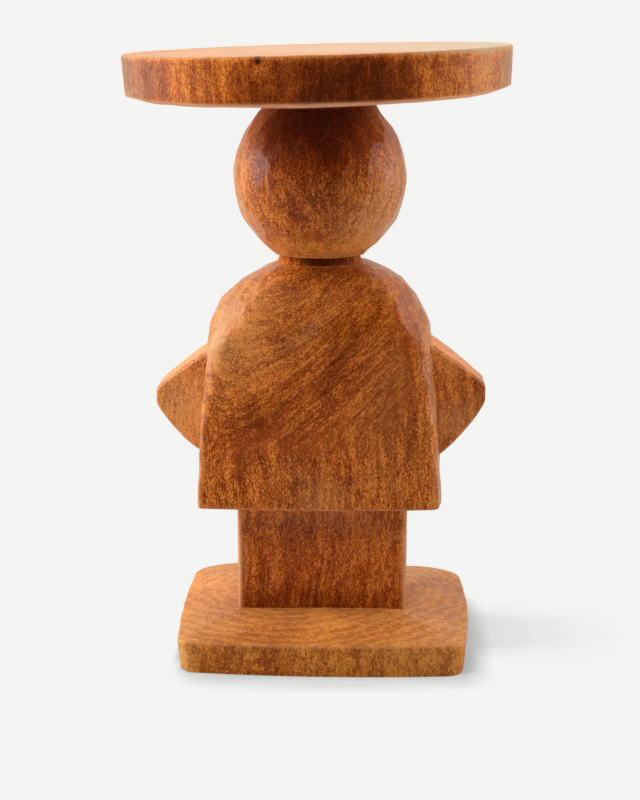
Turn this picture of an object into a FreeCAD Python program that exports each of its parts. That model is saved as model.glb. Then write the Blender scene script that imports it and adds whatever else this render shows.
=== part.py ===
import FreeCAD, Part
import math
import os

import Sketcher

# Side table of solid hardwood: a round top on a ball, a domed torso with two short arms, a post and a base.
# Millimetres. +Z is up, the front faces -Y, and the origin is on the floor under the middle of the round top.

SIZES = {
    # Fits shared by every joint
    "glue_gap": 0.15,
    "end_gap": 1.0,
    "overrun": 5.0,
    # Felt pads
    "pad_thick": 2.0,
    "pad_radius": 14.0,
    "pad_inset": 32.0,
    # Base
    "base_shift": 6.0,
    "base_half_width": 114.5,
    "base_half_depth": 118.5,
    "base_side_bow": 7.0,
    "base_front_bow": 8.0,
    "base_front_corner": 16.0,
    "base_back_corner": 28.0,
    "base_edge": 21.5,
    "base_crown": 6.5,
    "base_crown_margin": 7.0,
    "base_crown_corner": 12.0,
    "base_edge_round": 3.5,
    "base_foot_round": 2.5,
    "base_crown_share": 0.66,
    # Post
    "post_shift": 5.0,
    "post_visible": 82.0,
    "post_half_depth": 40.0,
    "post_foot_half_width": 64.5,
    "post_head_half_width": 66.8,
    "post_edge_round": 4.0,
    "post_seat_depth": 4.0,
    "tenon_half_width": 44.0,
    "tenon_half_depth": 20.0,
    "tenon_length": 42.0,
    "tenon_round": 6.0,
    # Screws from the base into the post
    "screw_circle": 34.0,
    "screw_angle": 45.0,
    "screw_sink": 0.6,
    "screw_head_radius": 5.0,
    "screw_head_edge": 0.6,
    "screw_shank_radius": 2.5,
    "screw_length": 60.0,
    "screw_point": 6.0,
    # Torso
    "figure_shift": 2.5,
    "torso_half_width": 95.5,
    "torso_waist_draw": 2.7,
    "torso_shoulder_draw": 8.5,
    "torso_half_depth": 57.0,
    "torso_shoulder_depth_draw": 3.0,
    "torso_wall": 125.0,
    "torso_dome": 62.5,
    "torso_crown_half_width": 34.5,
    "torso_crown_half_depth": 34.0,
    "torso_front_bow": 6.0,
    "torso_side_bow": 3.0,
    "torso_corner": 13.0,
    "torso_crown_corner_share": 0.8,
    "torso_hem_bevel": 1.5,
    # Arms
    "arm_half_depth": 30.0,
    "arm_seat_depth": 4.0,
    "arm_stub": 1.0,
    "arm_left_out": 31.8,
    "arm_left_low": 42.0,
    "arm_left_high": 120.0,
    "arm_left_tip": 83.0,
    "arm_right_out": 34.1,
    "arm_right_low": 38.5,
    "arm_right_high": 126.0,
    "arm_right_tip": 87.0,
    "arm_tip_height": 14.0,
    "arm_tip_round_share": 0.6,
    "arm_bevel": 4.5,
    # Dowels in the arms
    "arm_dowel_radius": 5.0,
    "arm_dowel_depth": 24.0,
    "arm_dowel_half_space": 13.0,
    # Neck
    "neck_radius": 30.0,
    "neck_gap": 5.8,
    "neck_spigot_radius": 19.0,
    "neck_spigot_down": 34.0,
    "neck_spigot_up": 30.0,
    "spigot_bevel": 1.5,
    # Head
    "head_radius": 67.0,
    "head_middle": 59.7,
    "head_height": 115.2,
    "head_foot_angle": 44.5,
    "head_seat_angle": 34.6,
    # Round top
    "top_radius": 150.0,
    "top_under_radius": 148.0,
    "top_rim": 32.7,
    "top_fall": 9.7,
    "top_seat_radius": 46.0,
    "top_tilt": 1.5,
    "top_edge_round": 3.0,
    "top_under_round": 2.0,
    # Dowels between the head and the round top
    "top_dowel_radius": 6.0,
    "top_dowel_circle": 29.0,
    "top_dowel_depth": 26.0,
    "dowel_bevel": 1.0,
}

# Heights above the floor, from the ground up
BASE_TOP = "Sizes.pad_thick + Sizes.base_edge + Sizes.base_crown"
POST_SEAT = f"{BASE_TOP} - Sizes.post_seat_depth"
HEM = f"{BASE_TOP} + Sizes.post_visible"
CROWN = f"{HEM} + Sizes.torso_wall + Sizes.torso_dome"
HEAD_FOOT = f"{CROWN} + Sizes.neck_gap"
SEAT = f"{HEAD_FOOT} + Sizes.head_height"

# The round top leans about the Y axis, and its upper face stays centred over the origin
TOP_THICK = "(Sizes.top_rim + Sizes.top_fall)"
TOP_SHIFT = f"{TOP_THICK} * sin(Sizes.top_tilt)"
HEAD_IN_TOP = f"(Sizes.figure_shift - {TOP_SHIFT})"

# The torso's sides draw in from the hem to the shoulder, and its depth draws in as well
TORSO_WAIST = "(Sizes.torso_half_width - Sizes.torso_waist_draw)"
TORSO_SHOULDER = "(Sizes.torso_half_width - Sizes.torso_shoulder_draw)"
TORSO_SHOULDER_DEPTH = "(Sizes.torso_half_depth - Sizes.torso_shoulder_depth_draw)"

# Each arm by its name and side, with sizes of its own in the sheet: how far it stands out past the hem,
# where its root starts and ends, and the height of its tip
ARMS = (("arm_left", -1), ("arm_right", 1))
ARM_ROOT = f"({TORSO_SHOULDER} - Sizes.arm_seat_depth)"

TENON = ("Sizes.tenon_half_width", "Sizes.tenon_half_depth", "Sizes.tenon_round")
SCREW_COUNT = 4
TOP_DOWEL_TURNS = (90, 210, 330)
TORSO_DOME_SHARES = (0.0, 0.3, 0.58, 0.82, 1.0)

document = FreeCAD.newDocument("SideTable")
sheet = document.addObject("Spreadsheet::Sheet", "Sizes")
for row, (alias, number) in enumerate(SIZES.items(), start=1):
    sheet.set(f"A{row}", alias)
    sheet.set(f"B{row}", str(number))
    sheet.setAlias(f"B{row}", alias)
document.recompute()


def value(expression):
    """The present value of an expression on the sheet."""
    found = sheet.evalExpression(str(expression))
    return float(getattr(found, "Value", found))


def new_body(name, x="0", z="0", tilt=None):
    """A body placed by expressions, which may lean about the Y axis."""
    body = document.addObject("PartDesign::Body", name)
    body.Label = name
    body.AllowCompound = True
    if tilt:
        body.Placement = FreeCAD.Placement(FreeCAD.Vector(), FreeCAD.Rotation(FreeCAD.Vector(0, 1, 0), 1))
        body.setExpression("Placement.Rotation.Angle", tilt)
    body.setExpression("Placement.Base.x", x)
    body.setExpression("Placement.Base.z", z)
    return body


def origin_feature(body, role):
    """An axis or plane of the body's own origin."""
    return next(feature for feature in body.Origin.OriginFeatures if feature.Role == role)


def new_sketch(body, name, role="XY_Plane", rise="0", x="0", tilt=None):
    """A sketch on one of the body's origin planes, moved along its normal by rise."""
    sketch = body.newObject("Sketcher::SketchObject", name)
    sketch.AttachmentSupport = [(origin_feature(body, role), "")]
    sketch.MapMode = "FlatFace"
    if tilt:
        sketch.AttachmentOffset = FreeCAD.Placement(
            FreeCAD.Vector(), FreeCAD.Rotation(FreeCAD.Vector(0, 1, 0), 1))
        sketch.setExpression("AttachmentOffset.Rotation.Angle", tilt)
    sketch.setExpression("AttachmentOffset.Base.x", x)
    sketch.setExpression("AttachmentOffset.Base.z", rise)
    return sketch


def drive(sketch, kind, *where, by):
    """A dimension of the sketch that follows an expression."""
    number = sketch.addConstraint(Sketcher.Constraint(kind, *where, value(by)))
    sketch.setExpression(f"Constraints[{number}]", by)


def outline(body, name, points, role="XZ_Plane", rise="0", turn=None):
    """A closed outline of straight edges through points given as pairs of expressions."""
    sketch = new_sketch(body, name, role, rise, tilt=turn)
    corners = [FreeCAD.Vector(value(across), value(along), 0) for across, along in points]
    count = len(points)
    for index, corner in enumerate(corners):
        sketch.addGeometry(Part.LineSegment(corner, corners[(index + 1) % count]), False)
    for index in range(count):
        sketch.addConstraint(Sketcher.Constraint("Coincident", index, 2, (index + 1) % count, 1))
    for index, (across, along) in enumerate(points):
        drive(sketch, "DistanceX", -1, 1, index, 1, by=across)
        drive(sketch, "DistanceY", -1, 1, index, 1, by=along)
    return sketch


def rectangle(body, name, half_x, half_y, corner, rise="0", x="0"):
    """A rectangle with round corners on the body's ground plane, centred x along its first axis."""
    sketch = new_sketch(body, name, "XY_Plane", rise, x)
    wide, deep, radius = value(half_x), value(half_y), value(corner)
    in_x, in_y, quarter = wide - radius, deep - radius, math.pi / 2
    middles = [(in_x, -in_y), (in_x, in_y), (-in_x, in_y), (-in_x, -in_y)]
    starts = [(-in_x, -deep), (wide, -in_y), (in_x, deep), (-wide, in_y)]
    ends = [(in_x, -deep), (wide, in_y), (-in_x, deep), (-wide, -in_y)]
    for side, (start, end, middle) in enumerate(zip(starts, ends, middles)):
        sketch.addGeometry(Part.LineSegment(FreeCAD.Vector(*start, 0), FreeCAD.Vector(*end, 0)), False)
        circle = Part.Circle(FreeCAD.Vector(*middle, 0), FreeCAD.Vector(0, 0, 1), radius)
        sketch.addGeometry(Part.ArcOfCircle(circle, (side - 1) * quarter, side * quarter), False)
    for index in range(8):
        sketch.addConstraint(Sketcher.Constraint("Tangent", index, 2, (index + 1) % 8, 1))
    for kind, index in (("Horizontal", 0), ("Vertical", 2), ("Horizontal", 4), ("Vertical", 6)):
        sketch.addConstraint(Sketcher.Constraint(kind, index))
    for index in (3, 5, 7):
        sketch.addConstraint(Sketcher.Constraint("Equal", 1, index))
    drive(sketch, "Radius", 1, by=corner)
    drive(sketch, "DistanceY", -1, 1, 0, 1, by=f"-({half_y})")
    drive(sketch, "DistanceX", -1, 1, 2, 1, by=half_x)
    drive(sketch, "DistanceY", -1, 1, 4, 1, by=half_y)
    drive(sketch, "DistanceX", -1, 1, 6, 1, by=f"-({half_x})")
    return sketch


def circles(body, name, centres, radius, role="XY_Plane", rise="0", x="0", tilt=None):
    """Equal circles with their centres at pairs of expressions."""
    sketch = new_sketch(body, name, role, rise, x, tilt)
    for index, (across, along) in enumerate(centres):
        centre = FreeCAD.Vector(value(across), value(along), 0)
        sketch.addGeometry(Part.Circle(centre, FreeCAD.Vector(0, 0, 1), value(radius)), False)
        drive(sketch, "Radius", index, by=radius)
        drive(sketch, "DistanceX", -1, 1, index, 3, by=across)
        drive(sketch, "DistanceY", -1, 1, index, 3, by=along)
    return sketch


def bow_radius(half_chord, bow):
    """The radius of an arc that rises by bow over a chord, as an expression."""
    return f"(({half_chord})^2 + ({bow})^2) / (2 * ({bow}))"


def cushion(body, name, half_x, half_y, side_bow, front_bow, corners, rise="0", x="0"):
    """A four-sided outline with bowed sides and round corners: the front pair, then the back pair."""
    sketch = new_sketch(body, name, "XY_Plane", rise, x)
    side, front = bow_radius(half_y, side_bow), bow_radius(half_x, front_bow)
    side_radius, front_radius = value(side), value(front)
    side_x, front_y = value(half_x) - side_radius, value(half_y) - front_radius
    turns, middles, radii = [], [], [value(corner) for corner in corners]
    for radius in radii:
        # The corner's centre lies where circles about the two long arcs' centres cross
        apart = math.hypot(side_x, front_y)
        along = ((side_radius - radius) ** 2 - (front_radius - radius) ** 2 + apart ** 2) / (2 * apart)
        off = math.sqrt((side_radius - radius) ** 2 - along ** 2)
        middle_x = side_x - (along * side_x + off * front_y) / apart
        middle_y = (along * front_y - off * side_x) / apart
        middles.append((middle_x, middle_y))
        turns.append((math.atan2(middle_y, middle_x - side_x), math.atan2(middle_y - front_y, middle_x)))
    (front_low, front_high), (back_low, back_high) = turns
    half_turn, full_turn = math.pi, 2 * math.pi
    (front_x, front_m), (back_x, back_m) = middles
    arcs = [
        (side_x, 0, side_radius, -front_low, back_low),
        (back_x, back_m, radii[1], back_low, back_high),
        (0, front_y, front_radius, back_high, half_turn - back_high),
        (-back_x, back_m, radii[1], half_turn - back_high, half_turn - back_low),
        (-side_x, 0, side_radius, half_turn - back_low, half_turn + front_low),
        (-front_x, -front_m, radii[0], half_turn + front_low, half_turn + front_high),
        (0, -front_y, front_radius, half_turn + front_high, full_turn - front_high),
        (front_x, -front_m, radii[0], full_turn - front_high, full_turn - front_low),
    ]
    for middle_x, middle_y, radius, start, end in arcs:
        circle = Part.Circle(FreeCAD.Vector(middle_x, middle_y, 0), FreeCAD.Vector(0, 0, 1), radius)
        sketch.addGeometry(Part.ArcOfCircle(circle, start, end), False)
    for index in range(len(arcs)):
        sketch.addConstraint(Sketcher.Constraint("Tangent", index, 2, (index + 1) % len(arcs), 1))
    for arc, axis in ((0, -1), (4, -1), (2, -2), (6, -2)):
        sketch.addConstraint(Sketcher.Constraint("PointOnObject", arc, 3, axis))
    for first, second in ((0, 4), (2, 6), (1, 3), (5, 7)):
        sketch.addConstraint(Sketcher.Constraint("Equal", first, second))
    drive(sketch, "Radius", 0, by=side)
    drive(sketch, "Radius", 2, by=front)
    drive(sketch, "Radius", 5, by=corners[0])
    drive(sketch, "Radius", 1, by=corners[1])
    drive(sketch, "DistanceX", -1, 1, 0, 3, by=f"{half_x} - {side}")
    drive(sketch, "DistanceX", -1, 1, 4, 3, by=f"{side} - ({half_x})")
    drive(sketch, "DistanceY", -1, 1, 2, 3, by=f"{half_y} - {front}")
    drive(sketch, "DistanceY", -1, 1, 6, 3, by=f"{front} - ({half_y})")
    return sketch


def pad(body, name, sketch, length):
    """Material raised from a sketch along its normal."""
    feature = body.newObject("PartDesign::Pad", name)
    feature.Profile = sketch
    feature.setExpression("Length", length)
    return feature


def loft(body, name, sketches, ruled):
    """Material between outlines of the same kind."""
    feature = body.newObject("PartDesign::AdditiveLoft", name)
    feature.Profile = sketches[0]
    feature.Sections = sketches[1:]
    feature.Ruled = ruled
    return feature


def turned(body, name, sketch, kind="PartDesign::Revolution", axis="V_Axis"):
    """Material, or with a Groove a hollow, turned about the sketch's upright axis or one of its edges."""
    feature = body.newObject(kind, name)
    feature.Profile = sketch
    feature.ReferenceAxis = (sketch, [axis])
    return feature


def pocket(body, name, sketch, depth, along_normal):
    """A hole sunk from a sketch, either along its normal or against it."""
    document.recompute()
    before = body.Shape.Volume
    feature = body.newObject("PartDesign::Pocket", name)
    feature.Profile = sketch
    feature.Reversed = along_normal
    feature.setExpression("Length", depth)
    document.recompute()
    if not 0 < feature.Shape.Volume < before:
        raise ValueError(f"{name} in {body.Label} cuts nothing")
    return feature


def ring(body, name, originals, count, role="Z_Axis"):
    """Copies of features, evenly spaced about one of the body's axes."""
    feature = body.newObject("PartDesign::PolarPattern", name)
    feature.Originals = originals
    feature.Axis = (origin_feature(body, role), [""])
    feature.Angle = 360
    feature.Occurrences = count
    body.Tip = feature
    return feature


def dress(body, name, kind, base, chosen, size):
    """A fillet or chamfer on the edges of a feature that pass a test."""
    document.recompute()
    names = [f"Edge{number}" for number, edge in enumerate(base.Shape.Edges, start=1) if chosen(edge)]
    if not names:
        raise ValueError(f"{name} in {body.Label} finds no edge")
    feature = body.newObject(kind, name)
    feature.Base = (base, names)
    feature.setExpression("Radius" if kind == "PartDesign::Fillet" else "Size", size)
    return feature


def lies_at(edge, axis, place):
    """Whether the whole edge lies at one place along an axis."""
    low, high = getattr(edge.BoundBox, f"{axis}Min"), getattr(edge.BoundBox, f"{axis}Max")
    close = value("Sizes.glue_gap")
    return abs(low - place) < close and abs(high - place) < close


def spans(edge, axis, length):
    """Whether the edge reaches over just this length along an axis."""
    extent = getattr(edge.BoundBox, f"{axis}Length")
    return abs(extent - length) < value("Sizes.glue_gap")


def make_felt_pads():
    """Four round pads, which hold the base just clear of the floor."""
    body = new_body("felt_pads", "Sizes.base_shift")
    across = "(Sizes.base_half_width - Sizes.pad_inset)"
    along = "(Sizes.base_half_depth - Sizes.pad_inset)"
    centres = [(f"{right} * {across}", f"{back} * {along}") for right in (-1, 1) for back in (-1, 1)]
    pad(body, "pads", circles(body, "pad_outlines", centres, "Sizes.pad_radius"), "Sizes.pad_thick")
    return body


def screws(body, name, kind, grow, foot, mouth):
    """Countersunk screws about the post's axis, or the holes for them, which are grown all round."""
    middle = "Sizes.screw_circle"
    head = f"{middle} + Sizes.screw_head_radius + {grow}"
    shank = f"{middle} + Sizes.screw_shank_radius + {grow}"
    cone = f"{foot} + Sizes.screw_head_edge + Sizes.screw_head_radius - Sizes.screw_shank_radius"
    tip = f"{foot} + Sizes.screw_length + {grow}"
    sketch = outline(body, f"{name}_profile", [
        (middle, mouth),
        (head, mouth),
        (head, f"{foot} + Sizes.screw_head_edge"),
        (shank, cone),
        (shank, f"{tip} - Sizes.screw_point"),
        (middle, tip),
    ], turn="Sizes.screw_angle")
    document.recompute()
    return ring(body, f"{name}_ring", [turned(body, name, sketch, kind, "Edge6")], SCREW_COUNT)


def make_base_screws():
    """Four countersunk wood screws from below the base into the post's foot."""
    body = new_body("base_screws", "Sizes.post_shift", "Sizes.pad_thick")
    screws(body, "screw", "PartDesign::Revolution", "0", "Sizes.screw_sink", "Sizes.screw_sink")
    return body


def make_base():
    """The slab: bowed sides, round corners and a crowned upper face with a shallow seat for the post."""
    body = new_body("base", "Sizes.post_shift", "Sizes.pad_thick")
    slab_x = "Sizes.base_shift - Sizes.post_shift"
    bows = ("Sizes.base_side_bow", "Sizes.base_front_bow")
    corners = ("Sizes.base_front_corner", "Sizes.base_back_corner")
    halves = ("Sizes.base_half_width", "Sizes.base_half_depth")
    inner = ("(Sizes.post_foot_half_width + Sizes.base_crown_margin)",
             "(Sizes.post_half_depth + Sizes.base_crown_margin)")
    middle = [f"(({outer} + {near}) / 2)" for outer, near in zip(halves, inner)]
    inner_corners = ("Sizes.base_crown_corner", "Sizes.base_crown_corner")
    pad(body, "slab", cushion(body, "slab_outline", *halves, *bows, corners, x=slab_x), "Sizes.base_edge")
    crown = loft(body, "crown", [
        cushion(body, "crown_foot", *halves, *bows, corners, "Sizes.base_edge", slab_x),
        cushion(body, "crown_middle", *middle, *bows, corners,
                "Sizes.base_edge + Sizes.base_crown * Sizes.base_crown_share", f"({slab_x}) / 2"),
        cushion(body, "crown_top", *inner, *bows, inner_corners, "Sizes.base_edge + Sizes.base_crown"),
    ], True)
    rim = value("Sizes.base_edge")
    rounded = dress(body, "rim_round", "PartDesign::Fillet", crown, lambda edge: lies_at(edge, "Z", rim),
                    "Sizes.base_edge_round")
    dress(body, "foot_round", "PartDesign::Fillet", rounded, lambda edge: lies_at(edge, "Z", 0),
          "Sizes.base_foot_round")
    grown = [f"{size} + Sizes.glue_gap" for size in
             ("Sizes.post_foot_half_width", "Sizes.post_half_depth", "Sizes.post_edge_round")]
    seat = rectangle(body, "seat_outline", *grown, "Sizes.base_edge + Sizes.base_crown")
    pocket(body, "post_seat", seat, "Sizes.post_seat_depth", False)
    screws(body, "screw_hole", "PartDesign::Groove", "Sizes.glue_gap", "Sizes.screw_sink", "-Sizes.overrun")
    return body


def make_post():
    """The post: slightly wider at its head, with a tenon for the torso and pilot holes in its foot."""
    body = new_body("post", "Sizes.post_shift", POST_SEAT)
    height = "Sizes.post_seat_depth + Sizes.post_visible"
    deep, corner = "Sizes.post_half_depth", "Sizes.post_edge_round"
    loft(body, "shaft", [
        rectangle(body, "foot_outline", "Sizes.post_foot_half_width", deep, corner),
        rectangle(body, "head_outline", "Sizes.post_head_half_width", deep, corner, height),
    ], True)
    pad(body, "tenon", rectangle(body, "tenon_outline", *TENON, height), "Sizes.tenon_length")
    sink = f"Sizes.screw_sink - ({POST_SEAT}) + Sizes.pad_thick"
    screws(body, "pilot_hole", "PartDesign::Groove", "Sizes.glue_gap", sink, f"{sink} - Sizes.overrun")
    return body


def make_torso():
    """The torso: bowed walls that draw in to the shoulders, then a dome with a flat crown for the neck."""
    body = new_body("torso", "Sizes.figure_shift", HEM)
    bows = ("Sizes.torso_side_bow", "Sizes.torso_front_bow")
    corner = "Sizes.torso_corner"
    wide, deep = TORSO_SHOULDER, TORSO_SHOULDER_DEPTH
    crown_wide, crown_deep = "Sizes.torso_crown_half_width", "Sizes.torso_crown_half_depth"
    waist_deep = f"((Sizes.torso_half_depth + {deep}) / 2)"
    bevel = "Sizes.torso_hem_bevel"
    foot_corner = f"({corner} - {bevel})"
    foot = cushion(body, "hem_foot", f"(Sizes.torso_half_width - {bevel})",
                   f"(Sizes.torso_half_depth - {bevel})", *bows, (foot_corner, foot_corner))
    hem = cushion(body, "hem", "Sizes.torso_half_width", "Sizes.torso_half_depth", *bows, (corner, corner),
                  bevel)
    waist = cushion(body, "waist", TORSO_WAIST, waist_deep, *bows, (corner, corner), "Sizes.torso_wall / 2")
    dome = []
    for number, share in enumerate(TORSO_DOME_SHARES, start=1):
        # Each half of the dome follows an ellipse that is cut off flat at the crown
        half_x = f"sqrt({wide}^2 - {share}^2 * ({wide}^2 - {crown_wide}^2))"
        half_y = f"sqrt({deep}^2 - {share}^2 * ({deep}^2 - {crown_deep}^2))"
        crown_corner = f"Sizes.torso_crown_corner_share * {crown_deep}"
        bend = f"({corner} + {share}^2 * ({crown_corner} - {corner}))"
        dome.append(cushion(body, f"dome_{number}", half_x, half_y, *bows, (bend, bend),
                            f"Sizes.torso_wall + Sizes.torso_dome * {share}"))
    loft(body, "wall", [foot, hem, waist, dome[0]], True)
    loft(body, "dome", dome, False)
    grown = [f"{size} + Sizes.glue_gap" for size in TENON]
    mortise = rectangle(body, "mortise_outline", *grown, x="Sizes.post_shift - Sizes.figure_shift")
    pocket(body, "mortise", mortise, "Sizes.tenon_length + Sizes.end_gap", True)
    spigot = circles(body, "spigot_outline", [("0", "0")], "Sizes.neck_spigot_radius + Sizes.glue_gap",
                     rise="Sizes.torso_wall + Sizes.torso_dome")
    pocket(body, "neck_hole", spigot, "Sizes.neck_spigot_down + Sizes.end_gap", False)
    for name, side in ARMS:
        gap = "Sizes.glue_gap"
        near, far = f"-(Sizes.arm_half_depth + {gap})", f"Sizes.arm_half_depth + {gap}"
        low, top = f"Sizes.{name}_low - {gap}", f"Sizes.{name}_high + {gap}"
        seat = outline(body, f"{name}_seat_outline", [(near, low), (far, low), (far, top), (near, top)],
                       "YZ_Plane", f"{side} * {ARM_ROOT}")
        pocket(body, f"{name}_seat", seat, "Sizes.torso_half_width", side > 0)
        holes = arm_dowel_circles(body, f"{name}_hole_outlines", name, side, gap)
        pocket(body, f"{name}_holes", holes, "Sizes.arm_dowel_depth + Sizes.end_gap", side < 0)
    return body


def arm_dowel_circles(body, name, arm, side, grow, shift="0"):
    """The outlines of one arm's dowels on the face where the arm meets the torso."""
    middle = f"(Sizes.{arm}_low + Sizes.{arm}_high) / 2"
    centres = [("0", f"{middle} + {step} * Sizes.arm_dowel_half_space") for step in (-1, 1)]
    return circles(body, name, centres, f"Sizes.arm_dowel_radius + {grow}", "YZ_Plane",
                   f"{side} * {ARM_ROOT} + {shift}")


def make_arm(name, side):
    """A three-cornered arm with a blunt round tip and bevelled edges, seated in the torso's side."""
    body = new_body(name, "Sizes.figure_shift", HEM)
    root, reach = f"{side} * {ARM_ROOT}", f"{side} * (Sizes.torso_half_width + Sizes.{name}_out)"
    low, high, middle = f"Sizes.{name}_low", f"Sizes.{name}_high", f"Sizes.{name}_tip"
    lower = f"{side} * ({TORSO_WAIST} + Sizes.arm_stub)"
    upper = f"{side} * ({TORSO_SHOULDER} + Sizes.arm_stub)"
    profile = outline(body, "profile", [
        (root, low),
        (lower, low),
        (reach, f"{middle} - Sizes.arm_tip_height / 2"),
        (reach, f"{middle} + Sizes.arm_tip_height / 2"),
        (upper, high),
        (root, high),
    ], "XZ_Plane", "-Sizes.arm_half_depth")
    wing = pad(body, "wing", profile, "2 * Sizes.arm_half_depth")
    tip, clear = abs(value(reach)), value("Sizes.glue_gap")
    rounded = dress(body, "round_tip", "PartDesign::Fillet", wing,
                    lambda edge: spans(edge, "X", 0) and spans(edge, "Z", 0)
                    and abs(abs(edge.BoundBox.Center.x) - tip) < clear,
                    "Sizes.arm_tip_round_share * Sizes.arm_tip_height")
    half, start = value("Sizes.arm_half_depth"), abs(value(lower))
    dress(body, "bevels", "PartDesign::Chamfer", rounded,
          lambda edge: (lies_at(edge, "Y", half) or lies_at(edge, "Y", -half))
          and max(abs(edge.BoundBox.XMin), abs(edge.BoundBox.XMax)) > start + clear,
          "Sizes.arm_bevel")
    holes = arm_dowel_circles(body, "hole_outlines", name, side, "Sizes.glue_gap")
    pocket(body, "holes", holes, "Sizes.arm_dowel_depth + Sizes.end_gap", side > 0)
    return body


def make_arm_dowels(name, side):
    """The two dowels of one arm."""
    body = new_body(f"{name}_dowels", "Sizes.figure_shift", HEM)
    outlines = arm_dowel_circles(body, "outlines", name, side, "0", "-Sizes.arm_dowel_depth")
    pins = pad(body, "pins", outlines, "2 * Sizes.arm_dowel_depth")
    dress(body, "bevels", "PartDesign::Chamfer", pins, lambda edge: spans(edge, "X", 0), "Sizes.dowel_bevel")
    return body


def make_neck():
    """The turned neck: a collar that shows between torso and head, and a spigot into each."""
    body = new_body("neck", "Sizes.figure_shift", CROWN)
    spigot, bevel = "Sizes.neck_spigot_radius", "Sizes.spigot_bevel"
    down, up = "-Sizes.neck_spigot_down", "Sizes.neck_gap + Sizes.neck_spigot_up"
    turned(body, "turning", outline(body, "profile", [
        ("0", down),
        (f"{spigot} - {bevel}", down),
        (spigot, f"{down} + {bevel}"),
        (spigot, "0"),
        ("Sizes.neck_radius", "0"),
        ("Sizes.neck_radius", "Sizes.neck_gap"),
        (spigot, "Sizes.neck_gap"),
        (spigot, f"{up} - {bevel}"),
        (f"{spigot} - {bevel}", up),
        ("0", up),
    ]))
    return body


def head_profile(body):
    """Half the head's outline: an arc about its middle that runs on as straight lines to foot and seat."""
    sketch = new_sketch(body, "profile", "XZ_Plane")
    radius, middle = value("Sizes.head_radius"), value("Sizes.head_middle")
    top = "Sizes.head_height + Sizes.overrun"
    low, high = math.radians(value("Sizes.head_foot_angle")), math.radians(value("Sizes.head_seat_angle"))
    low_x, low_z = radius * math.cos(low), middle - radius * math.sin(low)
    high_x, high_z = radius * math.cos(high), middle + radius * math.sin(high)
    foot = FreeCAD.Vector(low_x - low_z * math.tan(low), 0, 0)
    seat = FreeCAD.Vector(high_x - (value(top) - high_z) * math.tan(high), value(top), 0)
    axis_top = FreeCAD.Vector(0, value(top), 0)
    circle = Part.Circle(FreeCAD.Vector(0, middle, 0), FreeCAD.Vector(0, 0, 1), radius)
    sketch.addGeometry([
        Part.LineSegment(FreeCAD.Vector(), foot),
        Part.LineSegment(foot, FreeCAD.Vector(low_x, low_z, 0)),
        Part.ArcOfCircle(circle, -low, high),
        Part.LineSegment(FreeCAD.Vector(high_x, high_z, 0), seat),
        Part.LineSegment(seat, axis_top),
        Part.LineSegment(axis_top, FreeCAD.Vector()),
    ], False)
    for kind, *where in (
        ("Coincident", 0, 1, -1, 1), ("Coincident", 0, 2, 1, 1), ("Tangent", 1, 2, 2, 1),
        ("Tangent", 2, 2, 3, 1), ("Coincident", 3, 2, 4, 1), ("Coincident", 4, 2, 5, 1),
        ("Coincident", 5, 2, 0, 1), ("Horizontal", 0), ("Horizontal", 4),
        ("PointOnObject", 4, 2, -2), ("PointOnObject", 2, 3, -2),
    ):
        sketch.addConstraint(Sketcher.Constraint(kind, *where))
    drive(sketch, "Radius", 2, by="Sizes.head_radius")
    drive(sketch, "DistanceY", -1, 1, 2, 3, by="Sizes.head_middle")
    drive(sketch, "DistanceY", -1, 1, 2, 1,
          by="Sizes.head_middle - Sizes.head_radius * sin(Sizes.head_foot_angle)")
    drive(sketch, "DistanceY", -1, 1, 2, 2,
          by="Sizes.head_middle + Sizes.head_radius * sin(Sizes.head_seat_angle)")
    drive(sketch, "DistanceY", -1, 1, 4, 1, by=top)
    return sketch


def top_dowel_circles(body, name, grow, rise="0", x="0", tilt=None):
    """The outlines of the round top's dowels, about the head's axis on the seat between them."""
    centres = [(f"{HEAD_IN_TOP} + Sizes.top_dowel_circle * cos({turn})",
                f"Sizes.top_dowel_circle * sin({turn})") for turn in TOP_DOWEL_TURNS]
    return circles(body, name, centres, f"Sizes.top_dowel_radius + {grow}", rise=rise, x=x, tilt=tilt)


def make_head():
    """The ball, cut flat at its foot for the neck and at a slight lean on top for the round top."""
    body = new_body("head", "Sizes.figure_shift", HEAD_FOOT)
    turned(body, "ball", head_profile(body))
    spigot = circles(body, "spigot_outline", [("0", "0")], "Sizes.neck_spigot_radius + Sizes.glue_gap")
    pocket(body, "neck_hole", spigot, "Sizes.neck_spigot_up + Sizes.end_gap", True)
    lean = {"rise": "Sizes.head_height", "x": f"-{HEAD_IN_TOP}", "tilt": "-Sizes.top_tilt"}
    plane = circles(body, "seat_outline", [("0", "0")], "Sizes.head_radius", **lean)
    pocket(body, "seat", plane, "Sizes.head_radius", True)
    holes = top_dowel_circles(body, "hole_outlines", "Sizes.glue_gap", **lean)
    pocket(body, "holes", holes, "Sizes.top_dowel_depth + Sizes.end_gap", False)
    return body


def make_table_top():
    """The round top: a thick rim that draws in a little below, and an underside that falls to its seat."""
    body = new_body("table_top", TOP_SHIFT, SEAT, "-Sizes.top_tilt")
    disc = turned(body, "disc", outline(body, "profile", [
        ("0", "0"),
        ("Sizes.top_seat_radius", "0"),
        ("Sizes.top_under_radius", "Sizes.top_fall"),
        ("Sizes.top_radius", TOP_THICK),
        ("0", TOP_THICK),
    ]))
    upper = value(TOP_THICK)
    rounded = dress(body, "upper_edge", "PartDesign::Fillet", disc, lambda edge: lies_at(edge, "Z", upper),
                    "Sizes.top_edge_round")
    under = value("Sizes.top_fall")
    dress(body, "under_edge", "PartDesign::Fillet", rounded, lambda edge: lies_at(edge, "Z", under),
          "Sizes.top_under_round")
    holes = top_dowel_circles(body, "hole_outlines", "Sizes.glue_gap")
    pocket(body, "holes", holes, "Sizes.top_dowel_depth + Sizes.end_gap", True)
    return body


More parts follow.
